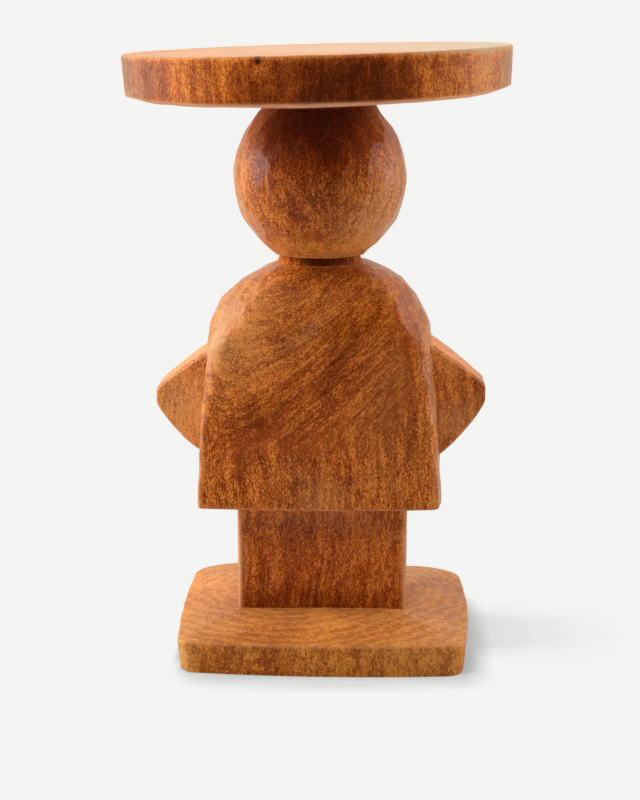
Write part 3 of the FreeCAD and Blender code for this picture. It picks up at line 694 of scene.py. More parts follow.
@dataclass
class Torso(Carving):
    """The torso: walls that draw in to the shoulders, then a dome with a flat crown under the neck."""

    part: Part = Part.TORSO
    marks: ToolMarks = ToolMarks(11.5 * MM, 0.32 * MM, (1.0, 1.0, 1.4), 0.009, 0.1 * MM, seed=8)
    finish: WoodFinish = WoodFinish("torso_wood", shift=0.06, swirls=True, streak_share=1.2)
    # Most tones paint light and shade: painted light on the upper left and over the upper dome, a painted
    # glint on the left shoulder's edge, and painted shade under the neck. The slanting bands and the dark
    # cloud at the lower left are the wood's own tone; the lighter clouds low in the middle and on the right
    # make it lighter there.
    tones: tuple[Patch, ...] = (
        Patch((-72, -35, 262), (36, 55, 46), 0.5), Patch((4, -57, 119), (18, 30, 20), 0.18),
        Patch((60, -57, 190), (26, 30, 60), 0.08), Patch((-5, -57, 252), (24, 30, 6), 0.22, 44),
        Patch((17, -57, 228), (40, 30, 9), -0.22, 54), Patch((-45, -57, 183), (28, 30, 12), -0.2, 10),
        Patch((-8, -57, 134), (36, 30, 10), 0.08, -35), Patch((-20, -48, 285), (60, 40, 20), 0.12),
        Patch((8, -42, 297), (36, 30, 9), -0.45), Patch((-77, -45, 241), (4.5, 25, 24), 0.5, -16))
    columns: int = 440
    wall: float = 125 * MM
    hem_half: float = 95.5 * MM
    waist_draw: float = 2.7 * MM
    shoulder_draw: float = 8.5 * MM
    half_depth: float = 57 * MM
    shoulder_depth_draw: float = 3 * MM
    crown_half: tuple[float, float] = (34.5 * MM, 34 * MM)
    bows: tuple[float, float] = (3 * MM, 6 * MM)
    hem_corners: tuple[float, float, float, float] = (7 * MM, 6 * MM, 3.5 * MM, 7 * MM)
    waist_corners: tuple[float, float, float, float] = (11 * MM, 10 * MM, 4.5 * MM, 12 * MM)
    corners: tuple[float, float, float, float] = (20 * MM, 15 * MM, 15 * MM, 24 * MM)
    dome_corner: float = 43 * MM
    dome_shift: float = 3.4 * MM
    shift_start: float = 0.4
    dome_rings: int = 90
    crown_corner: float = 30 * MM
    hem_bevel: float = 1.5 * MM
    bend: Vec3 = (-58 * MM, 62 * MM, 1.7)
    bend_foot: float = 100 * MM
    bend_turn: float = 14.0
    bend_scale: tuple[float, float] = (0.8, 1.4)
    bent_above: tuple[float, float] = (48 * MM, 72 * MM)
    bent_left_of: tuple[float, float] = (92 * MM, 48 * MM)
    ragged_foot: tuple[float, float, int] = (40 * MM, 9 * MM, 77)
    ragged_side: tuple[float, float, int] = (30 * MM, 8 * MM, 78)
    corners_open: tuple[float, float] = (-0.1, 0.42)
    corners_close: tuple[float, float] = (0.6, 1.0)
    rubbed_facing: tuple[float, float] = (0.75, 0.97)
    rubbed_share: float = 0.85
    middle_half: tuple[float, float] = (15 * MM, 60 * MM)
    middle_share: float = 0.35
    covered_half: float = 30 * MM
    covered_step: float = 5.0
    wall_step: float = 1.3
    hem_step: float = 0.6
    step: float = 1.3 * MM

    def rings(self) -> Array:
        """Outlines whose half sizes fall in straight lines up the wall and follow an ellipse over the dome.

        Over the dome, a half size at share t of its height is the root of w^2 - t^2 (w^2 - c^2), for w at the
        shoulder and c at the crown. The corners grow larger with t, and smaller again near the crown.
        """
        height = self.tall
        shoulder = self.hem_half - self.shoulder_draw
        shoulder_depth = self.half_depth - self.shoulder_depth_draw
        share = np.sin(np.linspace(0.0, 0.5 * math.pi, self.dome_rings))
        dome_x, dome_y = (np.sqrt(wide ** 2 - share ** 2 * (wide ** 2 - crown ** 2))
                          for wide, crown in zip((shoulder, shoulder_depth), self.crown_half))
        opening = smooth_step(share, *self.corners_open)
        closing = smooth_step(share, *self.corners_close) * (self.dome_corner - self.crown_corner)
        dome_corners = [corner + opening * (self.dome_corner - corner) - closing for corner in self.corners]
        bevel = self.hem_bevel
        hem, waist = np.array(self.hem_corners), np.array(self.waist_corners)
        stations = np.array([
            small_outline(0.0),
            [self.hem_half - bevel, 0.0, self.half_depth - bevel, *(hem - bevel)],
            [self.hem_half - 0.3 * bevel, 0.35 * bevel, self.half_depth - 0.3 * bevel, *hem],
            [self.hem_half, bevel, self.half_depth, *hem],
            [self.hem_half - self.waist_draw, self.wall / 2, (self.half_depth + shoulder_depth) / 2, *waist],
        ])
        dome = np.stack([dome_x, self.wall + share * (height - self.wall), dome_y, *dome_corners], axis=1)
        profile = np.vstack([stations, dome, [small_outline(height)]])
        showing = np.where(profile[:, 1] < self.wall, self.wall_step, 1.0)
        steps = np.where(profile[:, 0] < self.covered_half, self.covered_step, showing) * self.step
        steps[1:4] = self.hem_step * self.step
        rings = cushion_rings(evenly(profile, steps), self.bows, self.columns)
        shifts_from = self.wall + self.shift_start * (height - self.wall)
        rings[..., 0] += self.dome_shift * smooth_step(rings[..., 2], shifts_from, height)
        return rings + self.foot

    def tooled_share(self, points: Array, normals: Array) -> Array:
        """The front and back are rubbed nearly smooth. Most marks are left on the shoulders and the edges."""
        flat = smooth_step(np.abs(normals[:, 1]), *self.rubbed_facing)
        aside = smooth_step(np.abs(points[:, 0]), *self.middle_half)
        return (1.0 - self.rubbed_share * flat) * (self.middle_share + (1.0 - self.middle_share) * aside)

    def add_figure(self, piece: Object, points: Array) -> None:
        """Stores the figure of nested bends at the left, and where it takes over from the upright grain.

        About an axis that rises and leans right by the turn, a bend's line keeps sqrt(b^2 + (m a)^2) - h the
        same, for a across the axis, h along it, b the roundness of its foot and m the steepness of its limbs.
        """
        low, _ = self.box
        foot, roundness, steepness = self.bend
        turn = math.radians(self.bend_turn)
        right, up = points[:, 0] - foot, points[:, 2] - low[2] - self.bend_foot
        across = right * math.cos(turn) - up * math.sin(turn)
        along = up * math.cos(turn) + right * math.sin(turn)
        between, onward = self.bend_scale
        level = (np.sqrt(roundness ** 2 + (steepness * across) ** 2) - along) * between
        set_attribute(piece, "swirl_place", np.stack([level, points[:, 1], across * onward], axis=1))
        height = points[:, 2] - low[2] + hand_waves(points, *self.ragged_foot)
        right = points[:, 0] + hand_waves(points, *self.ragged_side)
        bent = smooth_step(height, *self.bent_above) * smooth_step(right, *self.bent_left_of)
        set_attribute(piece, "swirl", bent)

    def free_share(self, points: Array) -> Array:
        """Nothing moves under the hem or at the crown, where other pieces meet it."""
        low, high = self.box
        return smooth_step(points[:, 2], low[2], low[2] + 2 * MM) * smooth_step(
            points[:, 2], high[2], high[2] - 3 * MM)


@dataclass
class Arm(Carving):
    """An arm: three-cornered from the front, thinner towards its blunt tip, and bevelled above."""

    low: float = 42 * MM
    tip: float = 83 * MM
    tip_height: float = 13 * MM
    tip_half_depth: float = 19 * MM
    lower_stub: float = 10.8 * MM
    upper_stub: float = 5 * MM
    bulges: tuple[float, float] = (2.6 * MM, 0.9 * MM)
    soft: float = 2.0
    bevel: float = 2.2 * MM
    bevel_loss: float = 0.6
    edge_round: float = 0.9 * MM
    pole_share: float = 0.4
    edge_points: int = 16
    face_rings: int = 26
    bevel_rings: int = 6
    side_rings: int = 36
    step: float = 1.0 * MM

    def outline(self, length: float, top: float) -> Array:
        """The front outline, counterclockwise from the middle of the root.

        The two long edges are chords plus 4 s (1 - s) times their bulges along their outward direction. The
        closed line is then averaged with its neighbours under a bell curve, which rounds its corners.

        Args:
            length: How far the arm reaches from its root.
            top: Its height at the root.

        Returns:
            Points as (place across, height) rows.
        """
        tip = self.tip - self.low
        share = np.linspace(0.0, 1.0, self.edge_points)[:, None]
        edges = []
        ends = (((self.lower_stub, 0.0), (length, tip - 0.5 * self.tip_height)),
                ((length, tip + 0.5 * self.tip_height), (self.upper_stub, top)))
        for (start, end), bulge in zip(ends, self.bulges):
            run = np.array(end) - np.array(start)
            out = np.array([run[1], -run[0]]) / np.linalg.norm(run)
            edges.append(np.array(start) + share * run + 4 * share * (1 - share) * bulge * out)
        line = np.vstack([[[0.0, 0.5 * top], [0.0, 0.0]], *edges, [[0.0, top], [0.0, 0.5 * top]]])
        line = evenly(line, self.step)[:-1]
        reach = int(3 * self.soft)
        weights = np.exp(-0.5 * (np.arange(-reach, reach + 1) / self.soft) ** 2)
        around = sum(weight * np.roll(line, shift - reach, axis=0) for shift, weight in enumerate(weights))
        line = around / weights.sum()
        return line * np.array([length / line[:, 0].max(), 1.0])

    def rings(self) -> Array:
        """Copies of the front outline, from a pole on the back face to a pole on the front face.

        The faces lean in by a straight taper from root to tip. The bevel is widest above the root and narrows
        towards the tip, and below it is only a rounded edge.
        """
        low, high = self.box
        side = 1.0 if self.part is Part.ARM_RIGHT else -1.0
        root, reach = (low[0], high[0]) if side > 0 else (high[0], low[0])
        length, half_depth = abs(reach - root), high[1]
        line = self.outline(length, high[2] - low[2])
        out = self.outward(line)
        along = np.clip(line[:, 0] / length, 0.0, 1.0)
        above = smooth_step(out[:, 1], 0.0, 0.5) * (1.0 - self.bevel_loss * along)
        wide = self.edge_round + self.bevel * above
        wide *= smooth_step(line[:, 0], 0.5 * self.upper_stub, self.upper_stub)
        within = line - out * wide[:, None]
        middle = np.array([self.pole_share * length, self.tip - self.low])
        rings = []
        for share in np.linspace(0.02, 1.0, self.face_rings):
            flat = middle + (within - middle) * share
            rings.append(self.standing(flat, self.depth_at(flat[:, 0], length, half_depth)))
        for share in np.linspace(0.0, 1.0, self.bevel_rings)[1:]:
            flat = line - out * (wide * (1.0 - share))[:, None]
            rings.append(self.standing(flat, self.depth_at(flat[:, 0], length, half_depth) - wide * share))
        edge = self.depth_at(line[:, 0], length, half_depth) - wide
        sides = [self.standing(line, edge * share) for share in np.linspace(1.0, -1.0, self.side_rings)]
        grid = np.array(rings + sides[1:-1] + [ring * np.array([1.0, -1.0, 1.0]) for ring in reversed(rings)])
        grid = grid * np.array([side, 1.0, 1.0]) + np.array([root, 0.0, low[2]])
        return grid if side < 0 else grid[:, ::-1]

    def depth_at(self, across: Array, length: float, half_depth: float) -> Array:
        """Half the depth at a distance from the root: the root's, less a share of the loss at the tip."""
        return half_depth - np.clip(across / length, 0.0, 1.0) * (half_depth - self.tip_half_depth)

    @staticmethod
    def standing(flat: Array, depth: Array) -> Array:
        """An outline of (place across, height) rows with a depth at each of its points."""
        return np.stack([flat[:, 0], depth, flat[:, 1]], axis=1)

    @staticmethod
    def outward(line: Array) -> Array:
        """Directions out of a closed counterclockwise outline: its own direction, turned clockwise."""
        run = np.roll(line, -1, axis=0) - np.roll(line, 1, axis=0)
        run /= np.maximum(np.linalg.norm(run, axis=1, keepdims=True), TINY)
        return np.stack([run[:, 1], -run[:, 0]], axis=1)


@dataclass
class Post(Carving):
    """The post: four flat faces with rounded edges, a little wider at its head."""

    part: Part = Part.POST
    marks: ToolMarks = ToolMarks(24 * MM, 0.12 * MM, (1.0, 1.0, 2.0), seed=31)
    # Its arrises take a light colour over much of their width: partly wear, partly a painted highlight
    finish: WoodFinish = WoodFinish(
        "post_wood", pale=(0.80, 0.48, 0.20), wear_and_highlight=(0.85, 0.45, 0.2), wear_and_highlight_share=0.7,
        fleck_share=0.8, shift=0.01)
    # The tones are painted light under the torso's hem, painted shade at its foot over the base, and a
    # painted highlight along its left edge
    tones: tuple[Patch, ...] = (
        Patch((4, -40, 108), (60, 20, 14), 0.25), Patch((4, -40, 32), (90, 30, 12), -0.25),
        Patch((-65, -40, 74), (7, 30, 44), 0.7))
    columns: int = 280
    edge_round: float = 3.4 * MM
    visible_top: float = 112 * MM
    foot_half: float = 66.3 * MM
    tenon: Vec3 = (44 * MM, 20 * MM, 6 * MM)
    bows: tuple[float, float] = (0.8 * MM, 1.2 * MM)
    step: float = 1.4 * MM

    def rings(self) -> Array:
        """Outlines that widen in a straight line from foot to head, then the tenon's."""
        low, high = self.box
        head_half, half_depth = 0.5 * (high[0] - low[0]), high[1]
        shaft = self.visible_top - low[2]
        wide, deep, corner = self.tenon
        edge = 4 * [self.edge_round]
        stations = np.array([
            small_outline(0.0),
            [self.foot_half, 0.0, half_depth, *edge],
            [head_half, shaft, half_depth, *edge],
            [wide, shaft, deep, *(4 * [corner])],
            [wide, self.tall, deep, *(4 * [corner])],
            small_outline(self.tall),
        ])
        return cushion_rings(evenly(stations, self.step), self.bows, self.columns) + self.foot

    def free_share(self, points: Array) -> Array:
        """Only the shaft between the base and the torso moves."""
        low, _ = self.box
        return smooth_step(points[:, 2], low[2], low[2] + 5 * MM) * smooth_step(
            points[:, 2], self.visible_top, self.visible_top - 3 * MM)


@dataclass
class Base(Carving):
    """The slab: bowed sides, round corners and an upper face that sweeps up to the post."""

    part: Part = Part.BASE
    marks: ToolMarks = ToolMarks(24 * MM, 0.2 * MM, (1.4, 1.0, 1.0), seed=41)
    finish: WoodFinish = WoodFinish(
        "base_wood", mid=(0.40, 0.088, 0.011), light=(0.80, 0.295, 0.038), pale=(0.68, 0.38, 0.14),
        ring_share=0.27, shift=0.14, roughness=0.42, fleck_share=0.6, streak_share=0.45, ior=1.22)
    # The tones paint light and shade: painted light on the left of the upper face and on the lit front-left
    # corner, and painted shade on the right of the upper face. The front is lighter towards its right end and
    # along the upper face's front.
    tones: tuple[Patch, ...] = (
        Patch((90, -120, 14), (40, 30, 20), 0.25), Patch((100, 20, 26), (45, 110, 14), -0.15),
        Patch((-90, 20, 26), (50, 120, 14), 0.2), Patch((-101, -112, 14), (9, 16, 22), 0.8),
        Patch((0, -90, 28), (110, 36, 8), 0.15))
    columns: int = 560
    edge: float = 22 * MM
    bows: tuple[float, float] = (7 * MM, 8 * MM)
    front_corner: float = 12 * MM
    back_corner: float = 38 * MM
    rim_round: float = 1.6 * MM
    foot_round: float = 2.2 * MM
    crown_corner: float = 12 * MM
    crown_half: tuple[float, float] = (71.5 * MM, 47 * MM)
    crown_share: float = 0.66
    skew: float = 0.024
    front_reach: float = 4.4 * MM
    back_reach: float = 3 * MM
    left_draw: float = 1.8 * MM
    wall_draw: float = 2.2 * MM
    sunk: float = 1.6 * MM
    skewed_beyond: tuple[float, float] = (30 * MM, 90 * MM)
    front_beyond: tuple[float, float] = (50 * MM, 115 * MM)
    back_beyond: tuple[float, float] = (10 * MM, 118 * MM)
    back_left_beyond: tuple[float, float] = (0 * MM, 100 * MM)
    left_beyond: tuple[float, float] = (60 * MM, 110 * MM)
    covered_step: float = 4.0
    edge_step: float = 0.5
    step: float = 1.5 * MM

    def rings(self) -> Array:
        """Outlines from the middle of the underside, round the edge and up the crown to the post's seat.

        The slab isn't quite square: away from its middle, y falls by the skew times x, the front and the
        left back corner reach a little further out, the left side is drawn in by a parabola of y, and both
        sides draw in towards the foot. The underside lies a little below the node's, over most of the pads.
        """
        low, high = self.box
        half_x, half_y = 0.5 * (high - low)[:2]
        rise = self.tall - self.edge
        wide, deep = self.crown_half
        foot = half_x - self.wall_draw
        line = rounded([
            (2 * POLE, -self.sunk, 0), (foot, -self.sunk, self.foot_round),
            (half_x, self.edge, self.rim_round),
            (0.5 * (half_x + wide), self.edge + self.crown_share * rise, 8 * MM),
            (wide, self.edge + rise, 6 * MM), (2 * POLE, self.edge + rise, 0),
        ])
        inward = np.where(line[:, 1] < self.edge - self.rim_round, 0.0, half_x - line[:, 0])
        share = np.clip(inward / (half_x - wide), 0.0, 1.0)
        within = np.clip((wide - line[:, 0]) / wide, 0.0, 1.0)
        under = (line[:, 1] < 0.5 * MM - self.sunk) & (line[:, 0] < foot - 1.5 * self.foot_round)
        ends = ((half_y, deep, 2 * POLE), (self.front_corner, self.crown_corner, POLE),
                (self.back_corner, self.crown_corner, POLE))
        depth, front, back = (
            np.where(under, outer * line[:, 0] / foot,
                     (outer + share * (inner - outer)) * (1 - within) + last * within)
            for outer, inner, last in ends)
        covered = (line[:, 0] < wide - 8 * MM) | (under & (line[:, 0] < half_x - 6 * MM))
        near_edge = np.abs(line[:, 0] - half_x) < 5 * MM
        steps = np.where(covered, self.covered_step, np.where(near_edge, self.edge_step, 1.0)) * self.step
        levels = evenly(np.stack([line[:, 0], line[:, 1], depth, back, back, front, front], axis=1), steps)
        rings = cushion_rings(levels, self.bows, self.columns)
        x, y = rings[..., 0].copy(), rings[..., 1].copy()
        rings[..., 1] -= self.skew * x * smooth_step(np.abs(y), *self.skewed_beyond)
        rings[..., 1] -= self.front_reach * smooth_step(-y, *self.front_beyond)
        left_back = smooth_step(y, *self.back_beyond) * smooth_step(-x, *self.back_left_beyond)
        rings[..., 1] += self.back_reach * left_back
        rings[..., 0] += self.left_draw * (1.0 - (y / half_y) ** 2) * smooth_step(-x, *self.left_beyond)
        return rings + self.foot

    def free_share(self, points: Array) -> Array:
        """The underside stays flat."""
        low, _ = self.box
        return smooth_step(points[:, 2], low[2], low[2] + 4 * MM)


@dataclass
class RoundTop(Carving):
    """The round top: a thick rim that draws in below, and an underside that falls to its seat on the head."""

    part: Part = Part.TOP
    marks: ToolMarks = ToolMarks(20 * MM, 0.18 * MM, (1.0, 1.0, 2.6), 0.007, seed=11)
    # Its upper face's high tone turns pale past the start of its pale share: a painted sheen
    finish: WoodFinish = WoodFinish(
        "round_top_wood", pale=(0.49, 0.50, 0.36), ring_share=0.2, streak_share=0.75, fleck_share=0.65,
        slant_sheen_share=0.3, sheen_pale_start=0.4, shift=0.03, roughness=0.42, ior=1.22)
    # The tones: the rim is darker at the front, painted shade on its left and painted light on its right; the
    # upper face's high tone is a painted sheen; a small knot with a dark crack and pale upright streaks in
    # the rim are the wood's own
    tones: tuple[Patch, ...] = (
        Patch((18, -150, 438), (62, 60, 45), -0.7), Patch((-125, -85, 440), (60, 60, 40), -0.25),
        Patch((0, 0, 466), (400, 400, 5), 1.75, 0.9), Patch((-37, -145, 452), (4.5, 6, 8), 0.8),
        Patch((-37.5, -145, 460), (2.2, 5, 3.4), -2.4), Patch((-90, -120, 447), (3.5, 6, 22), 0.4),
        Patch((-102, -110, 447), (2.5, 4, 22), 0.35), Patch((-63, -136, 447), (2.5, 5, 20), 0.4),
        Patch((82, -126, 447), (3, 5, 22), 0.4), Patch((127, -80, 450), (8, 18, 25), 0.4),
        Patch((118, -94, 448), (50, 50, 30), 0.18))
    wave_length: float = 80 * MM
    wave_height: float = 0.16 * MM
    columns: int = 620
    radius: float = 150 * MM
    under_radius: float = 148 * MM
    rim: float = 32.7 * MM
    fall: float = 9.7 * MM
    unevenness: float = 1.8 * MM
    seat_radius: float = 46 * MM
    steep: tuple[float, float] = (127 * MM, 5.2 * MM)
    upper_round: float = 2.4 * MM
    under_round: float = 1.0 * MM
    lean: float = 1.5
    seat_height: float = 420.5 * MM
    hangs_ahead: tuple[float, float] = (0.3, 0.98)
    even_behind: tuple[float, float] = (-0.9, -0.2)
    upper_fade: tuple[float, float] = (452 * MM, 460 * MM)
    upper_calm: float = 0.65
    seat_fade: tuple[float, float] = (55 * MM, 75 * MM)
    under_step: float = 2.0
    rim_step: float = 0.6
    step: float = 1.6 * MM

    def rings(self) -> Array:
        """A profile carried round the axis and then leaned about Y, with its upper face over the origin.

        The underside falls steeply near the rim and then gently to the seat. The rim's lower edge is uneven:
        it hangs lower at the front and higher at the sides, and the shift fades evenly inwards and upwards.
        """
        thick = self.fall + self.rim
        profile = rounded([
            (POLE, 0.0, 0), (self.seat_radius, 0.0, 6 * MM), (*self.steep, 12 * MM),
            (self.under_radius, self.fall, self.under_round),
            (self.radius, thick, self.upper_round), (POLE, thick, 0),
        ])
        under = profile[:, 0] < self.under_radius - 5 * MM
        steps = np.where(under, self.under_step, self.rim_step) * self.step
        rings = turned_rings(evenly(profile, steps), self.columns)
        reach = np.hypot(rings[..., 0], rings[..., 1])
        ahead = -rings[..., 1] / reach
        share = np.minimum(np.clip((reach - self.steep[0]) / (self.under_radius - self.steep[0]), 0.0, 1.0),
                           np.clip((thick - rings[..., 2]) / self.rim, 0.0, 1.0))
        shift = self.unevenness * (1.0 - 2.0 * smooth_step(ahead, *self.hangs_ahead))
        shift *= smooth_step(ahead, *self.even_behind)
        rings[..., 2] += shift * share
        turn = math.radians(-self.lean)
        lean = np.array(Matrix.Rotation(turn, 3, "Y"))
        middle = np.array([-thick * math.sin(turn), 0.0, self.seat_height])
        return rings @ lean.T + middle

    def free_share(self, points: Array) -> Array:
        """The rim is uneven, the upper face nearly even, and nothing moves at the seat on the head."""
        calm = 1.0 - self.upper_calm * smooth_step(points[:, 2], *self.upper_fade)
        return calm * smooth_step(np.hypot(points[:, 0], points[:, 1]), *self.seat_fade)


class Nodes:
    """Short ways to add and join the nodes of one shader or group, which starts empty."""

    def __init__(self, tree: Tree) -> None:
        """Keeps and empties the tree that the nodes go into."""
        tree.nodes.clear()
        self.tree = tree

    def add(self, kind: str, inputs: dict | None = None, **settings: object) -> bpy.types.Node:
        """Adds a node.

        Args:
            kind: The node's type name.
            inputs: What each input takes: a number or colour, or a socket to join.
            settings: The node's own properties.

        Returns:
            The new node.
        """
        node = self.tree.nodes.new(kind)
        for name, setting in settings.items():
            setattr(node, name, setting)
        self.set_inputs(node, inputs or {})
        return node

    def set_inputs(self, node: bpy.types.Node, inputs: dict) -> None:
        """Gives a node's inputs their numbers and colours, or joins sockets to them."""
        for name, source in inputs.items():
            if isinstance(source, Socket):
                self.tree.links.new(source, node.inputs[name])
            else:
                node.inputs[name].default_value = source

    def group(self, tree: Tree, inputs: dict) -> list[Socket]:
        """Places a node group, with its settings and joins, and gives its outputs in order."""
        return list(self.add("ShaderNodeGroup", inputs, node_tree=tree).outputs)

    def place(self) -> Socket:
        """The place on the piece, in its own metres."""
        return self.add("ShaderNodeTexCoord").outputs["Object"]

    def math(self, operation: str, *values: object) -> Socket:
        """The result of a calculation on numbers or sockets."""
        return self.add("ShaderNodeMath", dict(enumerate(values)), operation=operation).outputs[0]

    def vector(self, operation: str, *values: object) -> Socket:
        """The result of a calculation on vectors or sockets."""
        return self.add("ShaderNodeVectorMath", dict(enumerate(values)), operation=operation).outputs[0]

    def graded(self, value: object, low: float, high: float,
               to_low: float = 0.0, to_high: float = 1.0) -> Socket:
        """A value carried smoothly from one range to another."""
        limits = {"Value": value, "From Min": low, "From Max": high, "To Min": to_low, "To Max": to_high}
        return self.add("ShaderNodeMapRange", limits, interpolation_type="SMOOTHSTEP").outputs["Result"]

    def between(self, share: object, first: object, second: object) -> Socket:
        """A number a share of the way from the first to the second."""
        return self.add("ShaderNodeMix", {0: share, 2: first, 3: second}, data_type="FLOAT").outputs[0]

    def blended(self, share: object, first: object, second: object, blend: str = "MIX") -> Socket:
        """Two colours, as sockets or as red, green and blue, mixed by a share."""
        first, second = (self.solid(colour) for colour in (first, second))
        mixed = {0: share, 6: first, 7: second}
        return self.add("ShaderNodeMix", mixed, data_type="RGBA", blend_type=blend).outputs[2]

    @staticmethod
    def solid(colour: object) -> object:
        """A colour of three numbers with full cover, or the socket as it is."""
        return (*colour, 1.0) if isinstance(colour, tuple) else colour

    def noise(self, place: object, scale: object, detail: float = 2.0, roughness: float = 0.5,
              distortion: float = 0.0) -> bpy.types.Node:
        """A noise texture at a place, as its node."""
        return self.add("ShaderNodeTexNoise", {"Vector": place, "Scale": scale, "Detail": detail,
                                               "Roughness": roughness, "Distortion": distortion})

    def along(self, place: object, squeeze: float, scale: float, *settings: float) -> Socket:
        """Noise that is drawn out along the third number of its place."""
        drawn_out = self.vector("MULTIPLY", place, (1.0, 1.0, squeeze))
        return self.noise(drawn_out, scale, *settings).outputs["Fac"]

    def wander(self, place: object, scale: float, detail: float, reach: float) -> Socket:
        """Sideways steps of up to half the reach each way, by a noise."""
        colour = self.noise(place, scale, detail).outputs["Color"]
        return self.vector("MULTIPLY", self.vector("SUBTRACT", colour, (0.5, 0.5, 0.5)), (reach, reach, 0.0))

    def attribute(self, name: str) -> Socket:
        """A number stored on the points of the piece."""
        return self.add("ShaderNodeAttribute", attribute_name=name).outputs["Fac"]


def new_material(name: str) -> tuple[Material, Nodes]:
    """An empty material and its nodes."""
    material = bpy.data.materials.new(name)
    material.use_nodes = True
    return material, Nodes(material.node_tree)


def new_group(name: str, takes: dict[str, str],
              gives: tuple[str, ...]) -> tuple[Nodes, bpy.types.Node, bpy.types.Node]:
    """Starts a shader node group.

    Args:
        name: The group's name.
        takes: Input names and their socket types.
        gives: The names of its outputs, which are numbers.

    Returns:
        The group's nodes, its input node and its output node.
    """
    tree = bpy.data.node_groups.new(name, "ShaderNodeTree")
    for socket, kind in takes.items():
        tree.interface.new_socket(socket, in_out="INPUT", socket_type=kind)
    for socket in gives:
        tree.interface.new_socket(socket, in_out="OUTPUT", socket_type="NodeSocketFloat")
    nodes = Nodes(tree)
    return nodes, nodes.add("NodeGroupInput"), nodes.add("NodeGroupOutput")


def grain_group() -> Tree:
    """Fibres, flecks and slow streaks of a hardwood whose fibres run along the third number of its place.

    The place wanders by a slow noise and trembles by a quicker one. Fine noise that changes quickly across
    and slowly along the fibres gives the flecks, and coarser noise the streaks and pores.

    Returns:
        The node group.
    """
    number = "NodeSocketFloat"
    n, takes, gives = new_group(
        "hardwood_grain", {"Place": "NodeSocketVector", "Fleck Scale": number, "Fleck Stretch": number},
        ("Fleck", "Streak", "Pore"))
    place, scale, stretch = (takes.outputs[name] for name in ("Place", "Fleck Scale", "Fleck Stretch"))
    flowing = n.vector("ADD", place, n.wander(place, 10.0, 2.0, 0.024))
    flowing = n.vector("ADD", flowing, n.wander(place, 70.0, 1.0, 0.0018))
    squeeze = n.add("ShaderNodeCombineXYZ", {"X": 1.0, "Y": 1.0, "Z": stretch}).outputs[0]
    fine = n.noise(n.vector("MULTIPLY", flowing, squeeze), scale, 2.0, 0.65).outputs["Fac"]
    bundle = n.along(flowing, 0.2, 420.0, 2.0)
    fleck = n.graded(n.math("MULTIPLY_ADD", fine, 0.75, n.math("MULTIPLY", bundle, 0.25)), 0.36, 0.64)
    streak = n.along(flowing, 0.06, 170.0, 2.5, 0.6)
    pore = n.graded(n.along(flowing, 0.14, 1000.0, 1.0), 0.64, 0.73)
    n.set_inputs(gives, {"Fleck": fleck, "Streak": streak, "Pore": pore})
    return n.tree


def log_group() -> Tree:
    """What runs through the whole log: growth rings about a pith near the table's axis, and slow clouds.

    Returns:
        The node group.
    """
    n, takes, gives = new_group("log", {"Place": "NodeSocketVector"}, ("Ring", "Cloud"))
    place = takes.outputs["Place"]
    flowing = n.vector("ADD", place, n.wander(place, 9.0, 3.0, 0.05))
    cloud = n.along(flowing, 0.45, 17.0, 3.0, 0.55)
    from_pith = n.vector("ADD", flowing, (0.02, -0.015, 0.0))
    growth = {"Vector": from_pith, "Scale": 30.0, "Distortion": 6.0, "Detail": 3.0, "Detail Scale": 6.0}
    rings = n.add("ShaderNodeTexWave", growth, wave_type="RINGS", rings_direction="Z")
    n.set_inputs(gives, {"Ring": rings.outputs["Fac"], "Cloud": cloud})
    return n.tree


def finish_surface(n: Nodes, inputs: dict, height: Socket, strength: float, depth: float) -> None:
    """Ends a material with its surface.

    Args:
        n: The material's nodes.
        inputs: What the surface's inputs take.
        height: The relief.
        strength: How strongly the relief shows.
        depth: How deep it is, in metres.
    """
    bump = n.add("ShaderNodeBump", {"Strength": strength, "Distance": depth, "Height": height})
    shader = n.add("ShaderNodeBsdfPrincipled", {**inputs, "Normal": bump.outputs[0]})
    n.add("ShaderNodeOutputMaterial", {"Surface": shader.outputs[0]})


